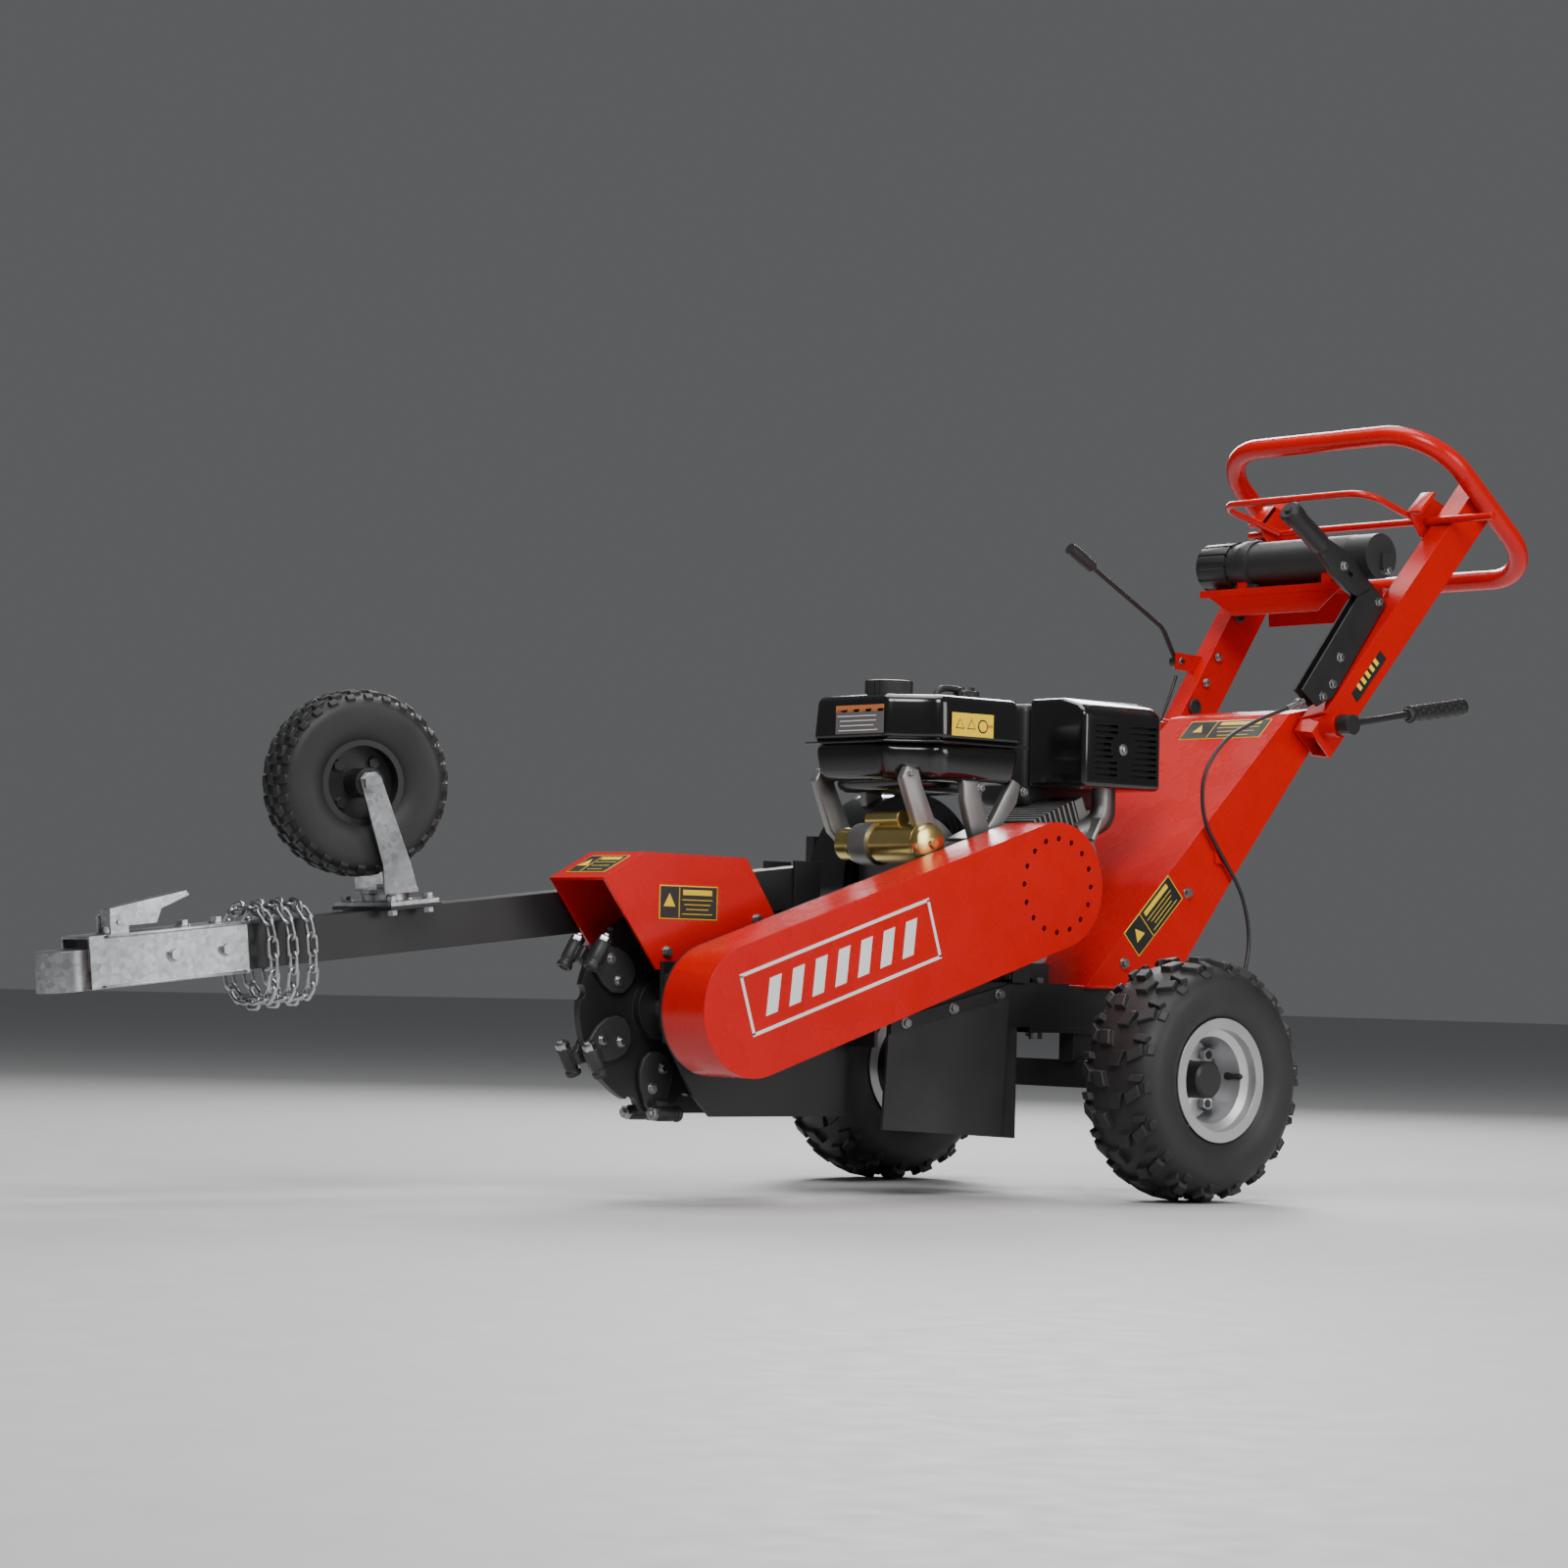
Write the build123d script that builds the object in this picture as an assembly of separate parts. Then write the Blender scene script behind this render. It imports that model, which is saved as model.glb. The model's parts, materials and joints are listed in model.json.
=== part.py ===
from build123d import *
import os
import math

os.makedirs("parts", exist_ok=True)

# ---------------------------------------------------------------- driving dimensions (mm)
TYRE_R = 178.0          # main tyre outside radius
TYRE_W = 145.0          # main tyre section width
RIM_R = 90.0            # main rim flange radius
RIM_W = 120.0           # main rim width over the flanges
TRACK = 654.0           # centre to centre of the main wheels
AXLE_R = 12.5           # stub axle radius
RUN = 0.06              # radial running clearance of every turning fit
GAP = 0.5               # gap between neighbouring plates that do not touch

RAIL_IN = 80.0          # inner face of each chassis rail
RAIL_W = 40.0           # chassis rail width
RAIL_Z0 = 247.0         # underside of the chassis rails
RAIL_H = 60.0           # chassis rail height
RAIL_FRONT = -430.0     # front end of the rails
RAIL_REAR = 165.0       # rear end of the rails
DECK_T = 5.0            # engine deck plate

CUT_X = -745.0          # cutter shaft, forward of the axle
CUT_Z = 265.0           # cutter shaft height
DISC_R = 138.0          # cutter disc radius
DISC_T = 12.0           # cutter disc thickness
HOOD_HALF = 60.0        # half the hood width, outside
SHEET = 4.0             # sheet thickness of hood and guard

CRANK_X = -171.0        # engine crankshaft, forward of the axle
CRANK_Z = 454.0         # engine crankshaft height
GUARD_R = 92.0          # end radius of the belt guard
GUARD_Y0 = -217.0       # outer face of the belt guard
GUARD_Y1 = -128.0       # inner face of the belt guard

RISER_HALF = 128.0      # half the riser width, outside
ENGINE_RAIL_Y = 68.0    # engine rails' centre lines, clear of the axle bolt heads
ARM_W = 62.0            # handle arm, fore and aft
ARM_T = 38.0            # handle arm, side to side
LOOP_C = (761.0, 0.0, 1094.0)   # centre of the handlebar ring
LOOP_TILT = 37.4        # ring slopes down to the rear by this angle
LOOP_L = 172.0          # half length of the ring, tube centreline
LOOP_W = 234.0          # half width of the ring, tube centreline
LOOP_CORNER = 99.0      # corner radius of the ring
LOOP_R = 16.0           # ring tube radius

TOW_ORIGIN = (-395.0, 98.0, 445.8)   # rear end of the tow bar
TOW_DROP = 6.4          # tow bar falls toward the front by this angle
TOW_BAR = 60.0          # tow bar square section
TOW_LEN = 1090.0         # tow bar length
BALL_R = 25.4           # two inch tow ball
BALL_S = 1255.0         # ball centre, forward of the bar's rear end

CASTER_S = 744.0        # swivel axis, forward of the bar's rear end
CASTER_YAW = -14.0      # stowed angle of the swivel
CASTER_R = 127.0        # caster tyre radius
CASTER_W = 84.0         # caster tyre width
CASTER_UP = 172.0       # caster axle above the bar top
CASTER_TRAIL = 34.0     # caster axle ahead of the swivel axis

COUPLER_S = 994.0       # rear end of the coupler channel, along the bar
CHAIN_WIRE = 2.5        # safety chain wire radius
CYL_ANGLE = 22.0        # cylinder leans this far above level
TUBE_X = 558.0          # document tube axis
TUBE_Z = 997.0
TUBE_R = 36.0

FRONT_X = TOW_ORIGIN[0] - (BALL_S + 37.5) * math.cos(math.radians(TOW_DROP))
REAR_X = LOOP_C[0] + LOOP_L * math.cos(math.radians(LOOP_TILT)) + LOOP_R
SHIFT_X = -(FRONT_X + REAR_X) / 2.0

TOW = Pos(*TOW_ORIGIN) * Rot(0, -TOW_DROP, 0)
ARM_LOW = Vector(450.0, 148.2, 695.0)
ARM_HIGH = Vector(780.0, 198.2, 1110.0)


# ---------------------------------------------------------------- helpers
def save(name, *solids):
    """Write one node, moved so that the overall length is centred on the origin."""
    flat = []
    for s in solids:
        flat += list(s.solids()) if hasattr(s, "solids") else [s]
    moved = [Pos(SHIFT_X, 0, 0) * s for s in flat]
    shape = moved[0] if len(moved) == 1 else Compound(children=moved)
    shape.label = name
    export_step(shape, f"parts/{name}.step")


def box(x0, x1, y0, y1, z0, z1):
    """Box from its six faces."""
    return Pos((x0 + x1) / 2, (y0 + y1) / 2, (z0 + z1) / 2) * Box(x1 - x0, y1 - y0, z1 - z0)


def cyl_y(x, z, r, y0, y1):
    """Cylinder along Y."""
    return Pos(x, (y0 + y1) / 2, z) * Rot(90, 0, 0) * Cylinder(r, abs(y1 - y0))


def cyl_z(x, y, r, z0, z1):
    """Cylinder along Z."""
    return Pos(x, y, (z0 + z1) / 2) * Cylinder(r, abs(z1 - z0))


def cyl_x(y, z, r, x0, x1):
    """Cylinder along X."""
    return Pos((x0 + x1) / 2, y, z) * Rot(0, 90, 0) * Cylinder(r, abs(x1 - x0))


def side_face(points):
    """Face in the X-Z plane from (x, z) pairs."""
    return make_face(Polyline(*[(x, 0, z) for x, z in points], close=True))


def side_plate(points, y0, y1):
    """Plate with an outline in the X-Z plane, from y0 to y1."""
    plate = extrude(side_face(points), amount=y1 - y0, dir=(0, 1, 0))
    return Pos(0, y0, 0) * plate


def rod(a, b, r):
    """Round bar between two points."""
    a = Vector(*a)
    b = Vector(*b)
    plane = Plane(origin=a, z_dir=(b - a))
    return extrude(plane * Circle(r), amount=(b - a).length)


def tube_path(points, radii, r):
    """Round bar along straight runs joined by tangent arcs."""
    path = FilletPolyline(*points, radius=radii)
    plane = Plane(origin=path @ 0, z_dir=path % 0)
    return sweep(plane * Circle(r), path=path)


def turned(profile, x, y, z, out):
    """Ring turned about the Y axis from (y, radius) pairs; out is the outward side."""
    pts = [(r, out * w, 0) for w, r in profile]
    face = make_face(Polyline(*pts, close=True))
    ring = revolve(face, axis=Axis.Y)
    return Pos(x, y, z) * ring


def hexagon(r, h):
    """Hexagon prism, r across the corners, on Z from 0 to h."""
    return extrude(RegularPolygon(r, 6), amount=h)


def bolt_at(x, y, z, direction, r=6.5, h=5.5):
    """Bolt head with a washer, standing on a surface with the given outward direction."""
    plane = Plane(origin=(x, y, z), z_dir=direction)
    head = Pos(0, 0, 1.5) * hexagon(r, h)
    washer = extrude(Circle(r * 1.25), amount=1.5)
    return plane * (head + washer)


def turn_half(a, b, c):
    """Half the turn between two runs, in radians."""
    u = (Vector(*b) - Vector(*a)).normalized()
    v = (Vector(*c) - Vector(*b)).normalized()
    return math.acos(max(-1.0, min(1.0, u.dot(v)))) / 2


def cable(points, r, name):
    """Cable of radius r with arcs as large as its runs allow; reports its radii."""
    runs = [math.dist(points[k], points[k + 1]) for k in range(len(points) - 1)]
    radii = []
    for k in range(1, len(points) - 1):
        half = turn_half(points[k - 1], points[k], points[k + 1])
        radii.append(0.45 * min(runs[k - 1], runs[k]) / math.tan(half))
    path = FilletPolyline(*points, radius=radii)
    plane = Plane(origin=path @ 0, z_dir=path % 0)
    shape = sweep(plane * Circle(r), path=path)
    print(name, "runs", [round(v) for v in runs], "radii", [round(v) for v in radii])
    print(name, "volume", round(shape.volume), "section x length", round(math.pi * r * r * path.length))
    return shape


def arm_plane(side, t):
    """Plane across a handle arm, t from 0 (low) to 1 (high); x runs across the machine."""
    low = Vector(ARM_LOW.X, side * ARM_LOW.Y, ARM_LOW.Z)
    high = Vector(ARM_HIGH.X, side * ARM_HIGH.Y, ARM_HIGH.Z)
    along = high - low
    return Plane(origin=low + along * t, x_dir=(0, along.Z, -along.Y), z_dir=along)


# ---------------------------------------------------------------- wheels
def tyre(y, out):
    h = TYRE_W / 2
    b = RIM_W / 2 - 4
    outer = [(-b, 77.2), (-b, 93), (-h, 112), (-h, 146), (-h + 18, TYRE_R)]
    outer += [(h - 18, TYRE_R), (h, 146), (h, 112), (b, 93), (b, 77.2)]
    inner = [(b - 12, 77.2), (b - 12, 96), (h - 12, 116), (h - 12, 142), (h - 26, TYRE_R - 12)]
    inner += [(-h + 26, TYRE_R - 12), (-h + 12, 142), (-h + 12, 116), (-b + 12, 96), (-b + 12, 77.2)]
    return turned(outer + inner, 0, y, TYRE_R, out)


def rim(y, out):
    w = RIM_W / 2
    f = w - 3.5
    drum = [(-w, RIM_R), (-f, RIM_R), (-f, 77), (-42, 77), (-36, 66), (36, 66), (42, 77), (f, 77)]
    drum += [(f, RIM_R), (w, RIM_R), (w, 74), (45, 74), (39, 63), (-39, 63), (-45, 74), (-w, 74)]
    dish = [(-14, 28), (-14, 60), (-20, 64.5), (-16, 64.5), (-10, 60), (-10, 28)]
    shape = turned(drum, 0, y, TYRE_R, out) + turned(dish, 0, y, TYRE_R, out)
    for k in range(4):
        a = math.radians(45 + 90 * k)
        x = 50 * math.cos(a)
        z = TYRE_R + 50 * math.sin(a)
        shape -= cyl_y(x, z, 6.4, y - 40, y + 40)
    return shape


def hub(y, out):
    bore = AXLE_R + RUN
    prof = [(-64, bore), (-64, 26), (-24, 26), (-24, 58)]
    prof += [(-14.1, 58), (-14.1, 27.8), (-4, 27.8), (-4, bore)]
    shape = turned(prof, 0, y, TYRE_R, out)
    for k in range(4):
        a = math.radians(45 + 90 * k)
        shape += cyl_y(50 * math.cos(a), TYRE_R + 50 * math.sin(a), 6, y - out * 20, y + out * 2)
    cap = [(-4.5, 22), (-4.5, 27), (34, 27), (38, 23), (38, 0), (34, 0), (34, 22)]
    return shape + turned(cap, 0, y, TYRE_R, out)


def lug_nuts(y, out):
    nuts = []
    for k in range(4):
        a = math.radians(45 + 90 * k)
        seat = (50 * math.cos(a), y - out * 9.9, TYRE_R + 50 * math.sin(a))
        plane = Plane(origin=seat, z_dir=(0, out, 0))
        nuts.append(plane * (hexagon(10.5, 11) - Cylinder(6.0, 60)))
    return nuts


def make_wheels():
    for name, y, out in (("left", -TRACK / 2, -1), ("right", TRACK / 2, 1)):
        save(f"tyre_{name}", tyre(y, out))
        save(f"rim_{name}", rim(y, out))
        save(f"hub_{name}", hub(y, out))
        save(f"lug_nuts_{name}", *lug_nuts(y, out))


# ---------------------------------------------------------------- chassis
def chassis_frame():
    z0, z1 = RAIL_Z0, RAIL_Z0 + RAIL_H
    ro = RAIL_IN + RAIL_W
    shape = None
    for s in (-1, 1):
        ya, yb = sorted((s * RAIL_IN, s * ro))
        rail = box(RAIL_FRONT, RAIL_REAR, ya, yb, z0, z1)
        rail -= box(RAIL_FRONT - 1, RAIL_REAR + 1, ya + 3, yb - 3, z0 + 3, z1 - 3)
        shape = rail if shape is None else shape + rail
    for x in (RAIL_FRONT, -150.0, RAIL_REAR - 40):
        tube = box(x, x + 40, -RAIL_IN, RAIL_IN, z0, z1)
        tube -= box(x + 3, x + 37, -RAIL_IN, RAIL_IN, z0 + 3, z1 - 3)
        shape += tube
    shape += box(RAIL_FRONT - 6, RAIL_FRONT, -ro, ro, 215, 330)
    shape += box(-434, -384, 62, 134, z1, z1 + DECK_T)
    shape += box(-434, -384, 62, 67.5, z1, 482) + box(-434, -384, 128.5, 134, z1, 482)
    shape += engine_deck()
    for x, y in ((-95, -100), (-95, 100), (95, -100), (95, 100)):
        shape -= cyl_z(x, y, 6.2, z0 - 5, z1 + 12)
    return shape


def axle_beam():
    half = 20.0
    y1 = TRACK / 2 - 77
    shape = box(-half, half, -y1, y1, TYRE_R - half, TYRE_R + half)
    for s in (-1, 1):
        ya, yb = sorted((s * 85.0, s * 115.0))
        shape += box(-30, 30, ya, yb, TYRE_R + half, RAIL_Z0 - 8)
        shape += box(-125, 125, ya - 5, yb + 5, RAIL_Z0 - 8, RAIL_Z0)
        shape += cyl_y(0, TYRE_R, AXLE_R, s * y1, s * (TRACK / 2 + 14))
        for x in (-95, 95):
            shape -= cyl_z(x, s * 100, 6.2, RAIL_Z0 - 20, RAIL_Z0 + 5)
    shape += cyl_y(0, TYRE_R, 70, -y1, -y1 + 5)
    return shape


def axle_bolts():
    out = []
    for s in (-1, 1):
        for x in (-95, 95):
            stem = cyl_z(x, s * 100, 6.0, RAIL_Z0 - 18, RAIL_Z0 + RAIL_H + DECK_T)
            low = Pos(x, s * 100, RAIL_Z0 - 18) * hexagon(10.5, 9.9)
            seat = RAIL_Z0 + RAIL_H + (DECK_T if x < 0 else 0)
            top = Pos(x, s * 100, seat) * hexagon(10.5, 8)
            out.append(stem + low + top)
    return out


def engine_deck():
    z = RAIL_Z0 + RAIL_H
    plate = box(RAIL_FRONT, -45, -118, 118, z, z + DECK_T)
    for y in (-ENGINE_RAIL_Y, ENGINE_RAIL_Y):
        rail = box(-300, -60, y - 22, y + 22, z + DECK_T, CRANK_Z - 113)
        rail -= box(-301, -59, y - 18, y + 18, z + DECK_T + 4, CRANK_Z - 117)
        plate += rail
    return plate


def riser_outline():
    return [(-20, 307), (140, 470), (420, 742), (471, 752), (480, 700), (295, 478), (160, 307)]


def riser_housing():
    face = side_face(riser_outline())
    outer = Pos(0, -RISER_HALF, 0) * extrude(face, amount=2 * RISER_HALF, dir=(0, 1, 0))
    inner_face = offset(face, amount=-3, kind=Kind.INTERSECTION)
    inner = Pos(0, -RISER_HALF + 3, 0) * extrude(inner_face, amount=2 * RISER_HALF - 6, dir=(0, 1, 0))
    shape = outer - inner
    for x, y in ((95, -100), (95, 100)):
        shape -= cyl_z(x, y, 13, 300, 330)
    shape += cyl_y(458, 724, 19, -200, 178)
    shape -= cyl_y(458, 724, 10 + RUN, -201, 179)
    shape += box(252, 272, -133.9, -RISER_HALF, 502, 522)
    return shape


def battery():
    shape = box(88, 150, -75, 75, 311, 400)
    for y in (-58, 58):
        shape += cyl_z(119, y, 6, 400, 408)
    return shape


def handle_arm(side):
    length = (ARM_HIGH - ARM_LOW).length
    plane = arm_plane(side, 0)
    outer = extrude(plane * Rectangle(ARM_T, ARM_W), amount=length)
    cut = Rectangle(ARM_T - 8, ARM_W - 8)
    inner = extrude(plane * cut, amount=length + 10)
    shape = outer - inner
    shape -= cyl_y(458, 724, 19.05, -260, 260)
    shape -= cyl_y(697, 1066, 6 + RUN, -260, 260)
    if side > 0:
        shape += side_plate([(548, 850), (528, 824), (474, 826), (474, 854)], 168, 172)
        shape -= cyl_y(485, 840, 4 + RUN, 150, 190)
    return shape


def handle_cross_plate():
    shape = box(514, 645, -157, 157, 952, 956)
    shape += side_plate([(637, 956), (645, 956), (645, 905), (641, 905)], -120, 120)
    shape += box(514, 518, -157, 157, 944, 952)
    for y in (-110, 70):
        shape += box(530, 586, y, y + 20, 956, 975)
    return shape - cyl_y(TUBE_X, TUBE_Z, TUBE_R + 0.05, -160, 160)


def ring_point(s, y):
    a = math.radians(LOOP_TILT)
    return (LOOP_C[0] + s * math.cos(a), y, LOOP_C[2] - s * math.sin(a))


def handlebar_loop():
    a = math.radians(LOOP_TILT)
    plane = Plane(origin=LOOP_C, x_dir=(math.cos(a), 0, -math.sin(a)), z_dir=(math.sin(a), 0, math.cos(a)))
    wire = plane * RectangleRounded(2 * LOOP_L, 2 * LOOP_W, LOOP_CORNER).wire()
    profile = Plane(origin=ring_point(LOOP_L, 0), z_dir=(0, 1, 0)) * Circle(LOOP_R)
    shape = sweep(profile, path=wire)
    inner = Plane(origin=ring_point(LOOP_L, 0), z_dir=(0, 1, 0)) * Circle(LOOP_R - 2.5)
    return shape - sweep(inner, path=wire)


# ---------------------------------------------------------------- belt drive
def capsule(r, y0, y1):
    dx = CRANK_X - CUT_X
    dz = CRANK_Z - CUT_Z
    d = math.hypot(dx, dz)
    nx, nz = -dz / d, dx / d
    pts = [(CUT_X + nx * r, CUT_Z + nz * r), (CRANK_X + nx * r, CRANK_Z + nz * r)]
    pts += [(CRANK_X - nx * r, CRANK_Z - nz * r), (CUT_X - nx * r, CUT_Z - nz * r)]
    return side_plate(pts, y0, y1) + cyl_y(CUT_X, CUT_Z, r, y0, y1) + cyl_y(CRANK_X, CRANK_Z, r, y0, y1)


def belt_guard():
    shell = capsule(GUARD_R, GUARD_Y0, GUARD_Y1) - capsule(GUARD_R - 3, GUARD_Y0 + 3, GUARD_Y1 + 1)
    holes = None
    for k in range(16):
        a = 2 * math.pi * k / 16
        h = cyl_y(CRANK_X + 68 * math.cos(a), CRANK_Z + 68 * math.sin(a), 4, GUARD_Y0 - 1, GUARD_Y0 + 4)
        holes = h if holes is None else holes + h
    return shell - holes


def guard_backplate():
    plate = capsule(GUARD_R, GUARD_Y1, GUARD_Y1 + 4)
    plate -= cyl_y(CUT_X, CUT_Z, 34, GUARD_Y1 - 1, GUARD_Y1 + 5)
    plate -= cyl_y(CRANK_X, CRANK_Z, 30, GUARD_Y1 - 1, GUARD_Y1 + 5)
    for x, z in ((-560, 300), (-470, 330)):
        plate += cyl_y(x, z, 9, GUARD_Y1 + 4, -66)
    z = RAIL_Z0 + RAIL_H + DECK_T
    plate += box(-172, -137, GUARD_Y1, GUARD_Y1 + 4, z, z + 70)
    plate += box(-172, -137, GUARD_Y1, -98, z, z + 4)
    return plate


def pulley(x, z, r, y0, bore, width=44.0):
    """Two groove V pulley; y0 is its inner side, it grows toward -Y."""
    w = width
    g = 11.0
    prof = [(0, bore), (0, r)]
    for c in (w * 0.27, w * 0.73):
        prof += [(c - g / 2 - 2.5, r), (c - 3, r - g), (c + 3, r - g), (c + g / 2 + 2.5, r)]
    prof += [(w, r), (w, bore)]
    return turned(prof, x, y0, z, -1)


def belt(offset_y, r_front, r_rear):
    """Open loop belt around both pulleys, 10 wide, 8 thick."""
    def loop(extra):
        c1 = Circle(r_front + extra)
        c2 = Circle(r_rear + extra)
        d = math.hypot(CRANK_X - CUT_X, CRANK_Z - CUT_Z)
        s = (r_front - r_rear) / d
        c = math.sqrt(1 - s * s)
        a, b = r_front + extra, r_rear + extra
        pts = [(a * s, a * c), (d + b * s, b * c), (d + b * s, -b * c), (a * s, -a * c)]
        quad = make_face(Polyline(*pts, close=True))
        return c1 + Pos(d, 0, 0) * c2 + quad
    ring = loop(8.0) - loop(0.0)
    ang = math.degrees(math.atan2(CRANK_Z - CUT_Z, CRANK_X - CUT_X))
    plane = Plane(origin=(CUT_X, offset_y, CUT_Z), x_dir=(1, 0, 0), z_dir=(0, -1, 0))
    return plane * Rot(0, 0, ang) * extrude(ring, amount=9.0)


def make_drive():
    save("belt_guard", belt_guard())
    save("guard_backplate", guard_backplate())
    front_r, rear_r = 62.0, 48.0
    save("cutter_pulley", pulley(CUT_X, CUT_Z, front_r, -150, 15.0))
    save("clutch_pulley", pulley(CRANK_X, CRANK_Z, rear_r, -150, 12.7))
    belts = []
    for c in (0.27, 0.73):
        belts.append(belt(-150 - 44 * c + 4.5, front_r - 6.0, rear_r - 6.0))
    save("drive_belts", *belts)


# ---------------------------------------------------------------- cutter
def cutter_hood():
    w = HOOD_HALF
    side = [(-890, 442), (-818, 480), (-633, 478), (-575, 395), (-560, 318), (-792, 318)]
    shape = side_plate(side, -w, -w + SHEET) + side_plate(side, w - SHEET, w)
    top = [(-890, 442), (-818, 480), (-633, 478), (-575, 395), (-560, 318)]
    low = [(-564, 318), (-579, 394), (-635, 474), (-817, 476), (-888, 438.5)]
    shape += side_plate(top + low, -w, w)
    return shape


def side_skirt(y0, y1):
    pts = [(-786, 330), (-786, 240), (-725, 144), (-693, 115), (-436, 115), (-436, 330)]
    plate = side_plate(pts, y0, y1)
    plate -= cyl_y(CUT_X, CUT_Z, 24, y0 - 1, y1 + 1)
    return plate


def flange_bearing(y0, s):
    """Four bolt flange bearing standing on the plate face y0, growing toward s."""
    ya, yb = sorted((y0, y0 + s * 14))
    base = box(CUT_X - 38, CUT_X + 38, ya, yb, CUT_Z - 48, CUT_Z + 48)
    body = cyl_y(CUT_X, CUT_Z, 31, y0, y0 + s * 32)
    shape = base + body - cyl_y(CUT_X, CUT_Z, 15 + RUN, y0 - s * 2, y0 + s * 34)
    for dx in (-27, 27):
        for dz in (-36, 36):
            head = Plane(origin=(CUT_X + dx, y0 + s * 14, CUT_Z + dz), z_dir=(0, s, 0)) * hexagon(8.5, 6)
            shape += head
    return shape


def cutter_disc():
    disc = cyl_y(CUT_X, CUT_Z, DISC_R, -DISC_T / 2, DISC_T / 2)
    disc += cyl_y(CUT_X, CUT_Z, 44, -20, 20)
    disc -= cyl_y(CUT_X, CUT_Z, 15, -21, 21)
    for k in range(9):
        a = math.radians(40 * k + 12)
        x = CUT_X + (DISC_R + 4) * math.cos(a)
        z = CUT_Z + (DISC_R + 4) * math.sin(a)
        disc -= cyl_y(x, z, 12, -10, 10)
    return disc


def at_angle(deg):
    """Frame on the disc at this angle: local x radial outward, local z tangential."""
    return Pos(CUT_X, 0, CUT_Z) * Rot(0, -deg, 0)


def tooth_pocket(s):
    """Bent pocket block bolted on one face of the disc, side s."""
    ya, yb = sorted((s * (DISC_T / 2), s * (DISC_T / 2 + 9)))
    plate = box(88, 134, ya, yb, -17, 17)
    yc, yd = sorted((s * (DISC_T / 2 + 9), s * (DISC_T / 2 + 16)))
    plate += box(113, 138, yc, yd, -12, 12)
    barrel = cyl_x(s * 30, 0, 10.5, 122, 156)
    web = box(118, 138, *sorted((s * 15, s * 30)), -8, 8)
    shape = plate + barrel + web
    shape += Plane(origin=(95, s * (DISC_T / 2 + 9), 0), z_dir=(0, s, 0)) * hexagon(7.5, 5)
    shape -= cyl_x(s * 30, 0, 6.5 + 0.05, 100, 170)
    return shape


def tooth(s):
    shank = cyl_x(s * 30, 0, 6.5, 112, 158)
    nut = Pos(104, s * 30, 0) * Rot(0, 90, 0) * hexagon(9.5, 8)
    tip = Pos(158, s * 30, 0) * Rot(0, 90, 0) * extrude(Circle(8.5), amount=8)
    return shank + nut + tip


def make_cutter():
    save("cutter_hood", cutter_hood())
    save("cutter_side_plates", side_skirt(-66, -60), side_skirt(60, 66))
    save("shaft_bearings", flange_bearing(-66, -1), flange_bearing(60, -1))
    shaft = cyl_y(CUT_X, CUT_Z, 15, -198, 58)
    save("cutter_shaft", shaft)
    save("cutter_disc", cutter_disc())
    pockets, teeth = [], []
    for k in range(6):
        for s in (-1, 1):
            at = at_angle(60 * k + (8 if s > 0 else -8))
            pockets.append(at * tooth_pocket(s))
            teeth.append(at * tooth(s))
    save("tooth_pockets", *pockets)
    save("cutter_teeth", *teeth)


# ---------------------------------------------------------------- engine
def cyl_frame():
    return Pos(CRANK_X, 0, CRANK_Z) * Rot(0, -CYL_ANGLE, 0)


def engine_block():
    case = box(-285, -62, -88, 88, CRANK_Z - 113, CRANK_Z + 61)
    case = fillet(case.edges().filter_by(Axis.Y), 14)
    case += cyl_y(CRANK_X, CRANK_Z, 62, -88, -98) + cyl_y(CRANK_X, CRANK_Z, 28, -98, -112)
    case += cyl_y(CRANK_X, CRANK_Z, 110, 88, 93)
    case += cyl_frame() * box(60, 124, -58, 58, -54, 54)
    return case - cyl_y(CRANK_X, CRANK_Z, 12.7 + RUN, -113, -55)


def cylinder():
    core = box(124.1, 225, -50, 50, -46, 46)
    for k in range(9):
        s = 132 + 10.5 * k
        core += box(s, s + 3.2, -62, 62, -56, 56)
    core += box(224, 242, -60, 60, -54, 54)
    plug = cyl_x(0, -20, 8, 242, 256) + cyl_x(0, -20, 5, 256, 268)
    return cyl_frame() * (core + plug)


def crankshaft():
    return cyl_y(CRANK_X, CRANK_Z, 12.7, -198, -58)


def fuel_tank():
    low = fillet(box(-364, -143, -106, 109, 602, 657).edges().filter_by(Axis.Z), 30)
    top = fillet(box(-368, -139, -110, 113, 661, 728).edges().filter_by(Axis.Z), 30)
    top = fillet(top.faces().sort_by(Axis.Z)[-1].edges(), 14)
    low = fillet(low.faces().sort_by(Axis.Z)[0].edges(), 12)
    rim_plate = fillet(box(-372, -135, -114, 117, 656, 662).edges().filter_by(Axis.Z), 32)
    hollow = fillet(box(-361, -146, -103, 106, 608, 722).edges().filter_by(Axis.Z), 28)
    shape = low + top + rim_plate - hollow
    shape += cyl_z(-300, 15, 22, 721, 741) - cyl_z(-300, 15, 19, 700, 742)
    shape += cyl_z(-190, -35, 15, 720, 736)
    return shape


def fuel_cap():
    cap = cyl_z(-300, 15, 35.5, 729, 751) - cyl_z(-300, 15, 22 + RUN, 728, 743)
    for k in range(12):
        a = math.radians(30 * k)
        cap -= cyl_z(-300 + 37 * math.cos(a), 15 + 37 * math.sin(a), 3, 728, 746)
    return cap


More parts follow.
